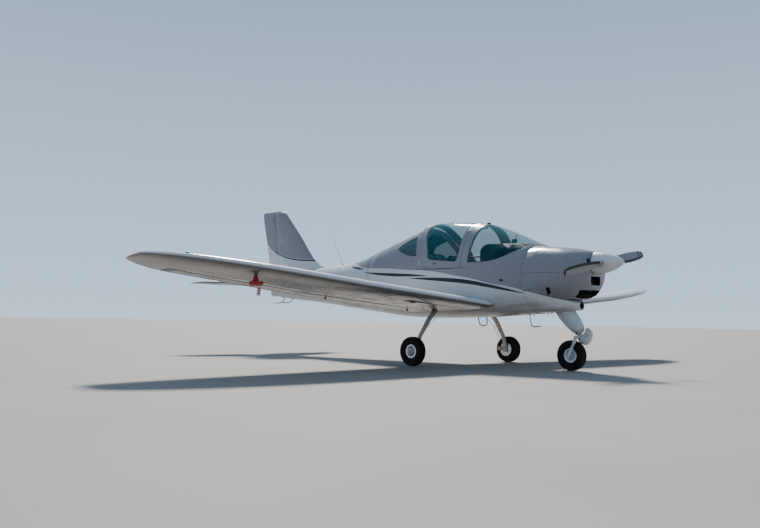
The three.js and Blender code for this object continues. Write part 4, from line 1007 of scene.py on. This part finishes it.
def ribbon():
    deselect()
    bpy.ops.mesh.primitive_grid_add(x_subdivisions=14, y_subdivisions=26, size=1, location=(0, 0, 0))
    piece = bpy.context.object
    wide, long = 0.064, 0.098
    for vertex in piece.data.vertices:
        across, down = vertex.co.x, 0.5 - vertex.co.y
        wave = 0.0035 * math.sin(across * 9.0 + down * 2.0) * (0.25 + down)
        sway = 0.003 * math.sin(down * 5.0)
        vertex.co = (COVER_X + 0.060 + across * wide, COVER_Y + wave + sway, 0.910 - down * long)
    modify(piece, "SOLIDIFY", thickness=0.0012, offset=0)
    fit(piece, "cover_ribbon_cloth", "ribbon", replaces=("cover_ribbon",), angle=CLOTH_ANGLE)
    loop = [(COVER_X + along, COVER_Y, z) for along, z in ((0.030, 0.9085), (0.060, 0.913), (0.090, 0.9085))]
    fit(pipe(loop, 0.0022, order=3), "ribbon_tape", "cover")


# Cabin fittings
PANEL_NORMAL = Vector((-0.9746, 0, -0.224))
# Gauges in rows: heights, places across and radius
GAUGES = (((1.43, 1.335), (0.30, 0.205, 0.11), 0.040), ((1.43,), (-0.14, -0.215, -0.29), 0.030),
          ((1.355,), (-0.14, -0.215, -0.29), 0.026))
STICK_BOOT = [(0.052, 0.905), (0.050, 0.912), (0.043, 0.930), (0.046, 0.938), (0.035, 0.958), (0.037, 0.966),
              (0.026, 0.985), (0.018, 1.000), (0.0125, 1.006)]


def gauges():
    rings, dials, needles = [], [], []
    places = [(y, z, radius) for heights, across, radius in GAUGES for z in heights for y in across]
    for y, z, radius in places:
        foot = Vector((1.778 - (z - 1.395) * 0.2286, y, z))
        rings.append(rod(foot, foot + PANEL_NORMAL * 0.009, radius, radius * 0.94, 28, 0.0015))
        dials.append(rod(foot, foot + PANEL_NORMAL * 0.0096, radius * 0.84, sides=28))
        tip = foot + PANEL_NORMAL * 0.0102
        way = spoke(7.0 * y + 11.0 * z) * radius * 0.62
        needles.append(rod(tip - way * 0.2, tip + way, 0.0016, 0.0006, 6))
        for angle in shares_of_turn(8):
            out = spoke(angle, radius)
            needles.append(rod(tip + out * 0.66, tip + out * 0.78, 0.0011, sides=4))
    fit(fuse(rings), "gauge_bezels", "black")
    fit(fuse(dials), "gauge_dials", "dial")
    fit(fuse(needles), "gauge_needles", "marks")


def cabin():
    lip = []
    for step in range(25):
        y = -0.400 + 0.800 * step / 24
        lip.append((1.756 + 0.02 * (1 - abs(y) / 0.4) ** 0.5, y, 1.508))
    fit(pipe(lip, 0.011, rounds=2), "glareshield_roll", "bolster")
    gauges()
    parts = [block((1.766, -0.075, 1.33), (1.80, 0.075, 1.47), 0.004)]
    for row in range(4):
        z = 1.345 + 0.034 * row
        x = 1.7645 - (z - 1.395) * 0.1
        parts.append(block((x - 0.006, -0.066, z - 0.012), (x + 0.004, 0.066, z + 0.012), 0.0015))
        parts += [rod((x - 0.004, y, z), (x - 0.017, y, z), 0.006, 0.005, 14, 0.001) for y in (-0.055, 0.055)]
    fit(fuse(parts), "radio_stack", "black")
    throttle = [rod((1.80, 0.0, 1.245), (1.700, 0.0, 1.243), 0.005, 0.005, 14),
                rod((1.702, 0.0, 1.243), (1.672, 0.0, 1.243), 0.013, 0.020, 20, 0.003)]
    fit(fuse(throttle), "throttle_knob", "black")
    compass = [rod((1.976, 0, 1.640), (1.976, 0, 1.672), 0.026, 0.026, 28, 0.004),
               rod((1.946, 0, 1.653), (1.998, 0, 1.653), 0.030, 0.034, 28, 0.004),
               rod((1.985, 0, 1.672), (2.015, 0, 1.735), 0.006, 0.006, 12)]
    fit(fuse(compass), "compass_on_its_stalk", "bolster")
    fit(rod((1.9465, 0, 1.653), (1.9405, 0, 1.653), 0.023, 0.021, 28, 0.001), "compass_window", "dial")
    for name, side in SIDES:
        fit(turned_up(STICK_BOOT, (1.5025, SEAT_Y * side)), f"stick_boot_{name}", "bolster")


def canopy_fittings():
    puck = [rod((1.552, 0, 1.888), (1.552, 0, 1.924), 0.030, 0.024, 26, 0.005),
            rod((1.552, 0, 1.884), (1.552, 0, 1.892), 0.038, 0.036, 26, 0.002)]
    fit(fuse(puck), "hoop_top_aerial", "black")
    latch = [rod((1.515, 0, 1.868), (1.515, 0, 1.842), 0.016, 0.014, 18, 0.003),
             block((1.455, -0.012, 1.842), (1.530, 0.012, 1.854), 0.004)]
    fit(fuse(latch), "canopy_lock_handle", "black", "canopy")
    grips = []
    for _, side in SIDES:
        for x, z, long in ((1.055, 1.352, 0.045), (0.900, 1.312, 0.016)):
            place, _ = side_of_hull(x, z, side)
            half = Vector((long / 2, 0.006, 0.009))
            grips.append(block(place - half, place + half))
    fit(fuse(grips), "canopy_side_catches", "black", "canopy")


# Wheels
def mirrored(profile):
    return [(radius, -along) for radius, along in reversed(profile)]


def tyre(name, body, centre, half):
    """Ribbed tread, rounded shoulders, a bead ring on each sidewall"""
    tread = half * 0.60
    wall = [(RIM_RADIUS + 0.001, -half * 0.60), (RIM_RADIUS + 0.006, -half * 0.72)]
    for step in range(1, 10):
        angle = math.pi / 2 * step / 10
        radius = RIM_RADIUS + 0.006 + (TYRE_RADIUS - 0.010 - RIM_RADIUS) * math.sin(angle) ** 0.8
        waist, bulge, power = (0.72, 0.26, 0.7) if angle < math.pi / 4 else (0.62, 0.36, 0.6)
        wall.append((radius, -half * (waist + bulge * math.sin(angle * 2) ** power)))
    wall.append((TYRE_RADIUS - 0.004, -tread - 0.004))
    crest, bottom = TYRE_RADIUS - 0.0005, TYRE_RADIUS - 0.006
    ribs = []
    grooves = 4
    pitch = 2 * tread / (grooves + 1)
    for groove in range(grooves + 1):
        left = -tread + groove * pitch
        ribs += [(crest, left + 0.0015), (crest, left + pitch - 0.0035)]
        if groove < grooves:
            ribs += [(bottom, left + pitch - 0.0025), (bottom, left + pitch + 0.0005)]
    made = turned(wall + ribs + mirrored(wall) + wall[:1], centre, 72)
    fit(made, f"{name}_tyre_ribbed", "tyre", body, (f"{name}_tyre",), CRISP)


def rim(name, body, centre, half):
    """Two cast halves bolted together, a flange each side, and a hub"""
    flange = half * 0.70
    disc = half * 0.34
    profile = [(0.0156, -half), (0.030, -half), (0.034, -half + 0.004), (0.036, -disc - 0.004),
               (0.052, -disc), (0.060, -flange + 0.006), (0.068, -flange),
               (RIM_RADIUS - 0.0005, -flange + 0.001), (RIM_RADIUS - 0.001, 0)]
    parts = [soften(turned(profile + mirrored(profile[:-1]) + profile[:1], centre, 56), 0.0008, 1)]
    for _, side in SIDES:
        out = Vector((0, side, 0))
        for angle in shares_of_turn(6):
            place = centre + round_axle(angle, 0.0445) + out * (disc - 0.001)
            parts.append(rod(place, place + out * 0.007, 0.0058, 0.0054, 6))
            parts.append(rod(place, place + out * 0.011, 0.0030, 0.0026, 10))
    fit(fuse(parts), f"{name}_rim_cast", "silver", body, (f"{name}_rim",), CRISP)


def hub(name, body, centre, half, side):
    """A dark disc over the wheel's middle with a smaller cap on it, a ring of small bright nuts and the
    tyre's valve
    """
    out = Vector((0, side, 0))
    foot = centre + out * (half * 0.34)
    caps = [rod(foot - out * 0.001, foot + out * 0.003, 0.0565, 0.0560, 40, 0.001),
            rod(foot, centre + out * (half + 0.007), 0.0235, 0.021, 28, 0.002)]
    bright = []
    for angle in shares_of_turn(3):
        place = centre + round_axle(angle + 0.4, 0.0165) + out * (half + 0.0065)
        bright.append(rod(place, place + out * 0.003, 0.0034, 0.0030, 6))
    stem = centre + Vector((0.062, 0, 0.026)) + out * half * 0.45
    bright.append(rod(stem, stem + out * 0.022 - Vector((0.008, 0, 0.003)), 0.0035, 0.003, 10))
    fit(fuse(caps), f"{name}_hub_caps", "black", body)
    fit(fuse(bright), f"{name}_hub_nuts", "steel", body)


def brake(name, body, centre, side):
    """A disc on its collar, on the wheel's inner side"""
    inner = centre - Vector((0, side * 0.0665, 0))
    disc = [(0.060, -0.0025), (0.098, -0.0025), (0.099, -0.0018), (0.099, 0.0018), (0.098, 0.0025),
            (0.060, 0.0025), (0.060, -0.0025)]
    collar = [(0.030, -0.006), (0.064, -0.003), (0.064, 0.003), (0.030, 0.010), (0.030, -0.006)]
    parts = [turned(disc, inner, 56), turned(collar, inner, 40)]
    fit(fuse(parts), f"{name}_brake_disc", "steel", body)


def wheels():
    for name, side in SIDES:
        centre = MAIN_AXLE + Vector((0, side * MAIN_WHEEL_Y, 0))
        wheel, body = f"main_{name}", f"wheel_{name}"
        tyre(wheel, body, centre, MAIN_TYRE_HALF)
        rim(wheel, body, centre, MAIN_RIM_HALF)
        brake(wheel, body, centre, side)
        hub(wheel, body, centre, MAIN_RIM_HALF, side)
    tyre("nose", "wheel_nose", NOSE_AXLE, NOSE_TYRE_HALF)
    rim("nose", "wheel_nose", NOSE_AXLE, NOSE_RIM_HALF)


def brake_lines():
    for name, side in SIDES:
        path = [(1.072, 0.935 * side, 0.215), (1.090, 0.915 * side, 0.26), (1.099, 0.850 * side, 0.36),
                (1.101, 0.760 * side, 0.47), (1.102, 0.640 * side, 0.575), (1.104, 0.540 * side, 0.63)]
        fit(pipe(path, 0.0035, order=3), f"brake_hose_{name}", "black")
        feet = [Vector((x, 0.9195 * side, z)) for x in (1.025, 1.056) for z in (0.183, 0.209)]
        bolts = [rod(foot, foot - Vector((0, 0.005 * side, 0)), 0.0048, 0.0044, 6) for foot in feet]
        fit(fuse(bolts), f"caliper_bolts_{name}", "steel")


# Propeller and nose bay
def blade_cuffs():
    ways = [spoke(BLADE_TILT + turn) for turn in (0, math.pi)]
    cuffs = [rod(THRUST_LINE + out * 0.085, THRUST_LINE + out * 0.115, 0.0503, 0.0498, 40, 0.002)
             for out in ways]
    fit(fuse(cuffs), "blade_cuffs", "white", "propeller_and_spinner")


def spinner_trim():
    screws = [on_spinner(x, math.tau * (turn + 0.5) / count, HEAD_LIFT)
              for x, count in ((3.292, 10), (3.355, 6)) for turn in range(count)]
    screws = [found for found in screws if found and found[0].x > 3.2]
    fit(spread(screw(), screws), "spinner_screws", "steel", "propeller_and_spinner")
    marks = []
    for turn, x in ((2.2, 3.318), (4.05, 3.340), (5.3, 3.318), (0.9, 3.340)):
        ends = on_spinner(x, turn - 0.06, 0.0006), on_spinner(x + 0.02, turn + 0.09, 0.0006)
        if all(ends):
            start, end = ends[0][0], ends[1][0]
            middle = (start + end) / 2 + (start - THRUST_LINE) * 0.004
            marks.append(pipe([start, middle, end], 0.0022, False, 0))
    fit(fuse(marks), "spinner_cut_lines", "black", "propeller_and_spinner")


def radiator(name, low, high, step=0.012):
    """A near-black block with upright fins on its front; a real core, its near-black also painted shade for
    the inside of the intake
    """
    parts = [block(low, high, 0.002)]
    front = high[0]
    for index in range(1, int((high[1] - low[1]) / step)):
        y = low[1] + step * index
        foot, top = (front - 0.001, y - 0.0012, low[2] + 0.006), (front + 0.005, y + 0.0012, high[2] - 0.006)
        parts.append(block(foot, top, 0))
    fit(fuse(parts), name, "shade_black", slot="engine_metal")


def nose_bay():
    radiator("chin_radiator", (2.895, -0.160, 0.885), (2.980, 0.160, 0.974))
    radiator("chin_air_splitter", (2.975, -0.070, 0.915), (3.070, 0.070, 0.976))
    # Near-black blocks in the nose scoops: painted shade for the inside of the holes
    hoods = [block((3.122, 0.160 * side - 0.040, 1.314), (3.160, 0.160 * side + 0.040, 1.357), 0.008)
             for _, side in SIDES]
    fit(fuse(hoods), "scoop_shade_blocks", "shade_black")
    rings = []
    way = Vector((0.25, 0, -0.97)) * 0.003
    for step in range(5):
        centre = Vector((2.926, 0, 0.470)).lerp(Vector((2.931, 0, 0.452)), step / 4)
        rings.append(rod(centre - way, centre + way, 0.034 - 0.003 * (step % 2), 0.034, 24, 0.0015))
    fit(fuse(rings), "nose_leg_boot", "seal")


def side_inlets():
    """A small three-cornered air inlet low on each side: a dark lip, and a near-black patch inside it as
    painted shade
    """
    for name, side in SIDES:
        corners = along_side(((2.135, 1.122), (2.200, 1.106), (2.135, 1.090)), side)
        out = Vector((0, side, 0))
        fit(pipe([point + out * 0.001 for point in corners], 0.003, True), f"side_inlet_lip_{name}", "black")
        deselect()
        bpy.ops.mesh.primitive_cone_add(vertices=3, radius1=0.022, radius2=0.020, depth=0.0016)
        patch = bpy.context.object
        middle = sum(corners, Vector()) / 3
        for vertex, corner in zip(sorted(patch.data.vertices, key=lambda vertex: vertex.co.z), corners * 2):
            sink = -0.0012 if vertex.co.z < 0 else 0.0012
            vertex.co = middle + (corner - middle) * 0.98 + out * sink
        close_up(patch, 1e-7)
        # The patch is painted shade for the inside of the inlet
        fit(patch, f"side_inlet_shade_patch_{name}", "shade_black")


# Lights, caps, rings and small fittings
def lamp(name, place, normal, glass, long, wide, tall):
    deselect()
    bpy.ops.mesh.primitive_uv_sphere_add(segments=20, ring_count=12, radius=1)
    dome = bpy.context.object
    dome.scale = (long / 2, wide / 2, tall)
    set_down(dome)
    base = block((-long * 0.62, -wide * 0.66, -0.006), (long * 0.62, wide * 0.66, 0.0022), 0.002)
    fit(stand(dome, place, normal), name + "_lens", glass)
    fit(stand(base, place, normal), name + "_base", "white")


def wing_fittings():
    for (name, side), glass in zip(SIDES, ("red_lens", "green_lens")):
        fore, aft = meet(WINGS, 1.440, 4.560 * side, ABOVE), meet(WINGS, 0.90, 4.62 * side, ABOVE)
        lamp(f"tip_light_{name}", *fore, glass, 0.055, 0.024, 0.014)
        lamp(f"tip_lamp_aft_{name}", *aft, "clear_lens", 0.040, 0.020, 0.010)
        lid = peg(-0.002, 0.0035, 0.034, 0.032, 32, 0.0012)
        grip = block((-0.024, -0.0035, 0.003), (0.024, 0.0035, 0.010), 0.002)
        filler = stand(fuse([lid, grip]), *meet(WINGS, 1.47, 1.30 * side, ABOVE))
        fit(filler, f"fuel_cap_{name}", "steel")
        foot, _ = meet(WINGS, 1.36, 2.95 * side, BELOW)
        ring = [foot + Vector((0, 0, -0.014)) + round_axle(angle, 0.016) for angle in shares_of_turn(16)]
        parts = [pipe(ring, 0.003, True)]
        for x in (1.36, 1.20):
            foot, down = meet(WINGS, x, 0.92 * side, BELOW)
            parts.append(rod(foot - down * 0.004, foot + down * 0.014, 0.007, 0.006, 14, 0.001))
        fit(fuse(parts), f"wing_rings_and_drains_{name}", "steel")


def belly_fittings():
    parts = []
    up = Vector((0, 0, 1))
    for x, y, drop in ((2.285, 0.0, 0.035), (2.555, 0.0, 0.035), (2.40, -0.16, 0.030), (2.40, 0.16, 0.030)):
        hit, _ = meet(HULL, x, y, BELOW)
        parts.append(rod(hit + up * 0.004, hit - up * drop, 0.0055, 0.0048, 14, 0.001))
        parts.append(rod(hit + up * 0.003, hit - up * 0.004, 0.012, 0.011, 18, 0.001))
    fit(fuse(parts), "belly_drains", "steel")


def control_horns():
    """A short dark horn under each flap, near its hinge"""
    for name, side in SIDES:
        flap = surface_of((f"flap_{name}",))
        for number, y in ((1, 0.86), (2, 2.30)):
            foot, _ = meet(flap, 0.86, y * side, BELOW)
            low, high = Vector((-0.014, -0.004, -0.024)), Vector((0.010, 0.004, 0.008))
            blade = block(foot + low, foot + high, 0.002)
            middle, half = foot + Vector((-0.006, 0, -0.018)), Vector((0, 0.009, 0))
            pin = rod(middle - half, middle + half, 0.0045, sides=14)
            fit(fuse([blade, pin]), f"flap_horn_{name}_{number}", "black", f"flap_{name}_body")


def small_fittings():
    foot = stand(peg(-0.003, 0.010, 0.030, 0.022, 26, 0.003), *round_hull(-0.75, math.pi / 2))
    dot = stand(peg(-0.002, 0.004, 0.009, 0.008, 16, 0.001), *round_hull(-0.166, math.pi / 2))
    fit(fuse([foot, dot]), "deck_aerial_base", "black")
    spots = ((0.720, 1.300, 0.0045), (2.640, 1.152, 0.006), (2.830, 1.152, 0.006))
    dots = [stand(peg(-0.001, 0.0018, radius, radius * 0.9, 14), *side_of_hull(x, z, side))
            for _, side in SIDES for x, z, radius in spots]
    fit(fuse(dots), "side_dots", "black")


def wing_root_seals():
    """A dark rubber hook round each wing root's leading edge"""
    for name, side in SIDES:
        path = [WINGS.find_nearest(Vector((x, 0.61 * side, z)))[0] for x, z in (
            (1.93, 0.81), (1.98, 0.795), (2.01, 0.765), (2.00, 0.735), (1.96, 0.71), (1.90, 0.70))]
        fit(pipe(path, 0.0042, order=3), f"wing_root_seal_{name}", "seal")


# The order is kept, because the fasteners leave the mesh tools picking whole faces
for build in (camera, studio, airframe_skins, seals, panel_joints, fasteners, seats, tube_cover, ribbon,
              cabin, canopy_fittings, wheels, brake_lines, blade_cuffs, spinner_trim, nose_bay, side_inlets,
              wing_fittings, belly_fittings, control_horns, small_fittings, wing_root_seals):
    build()
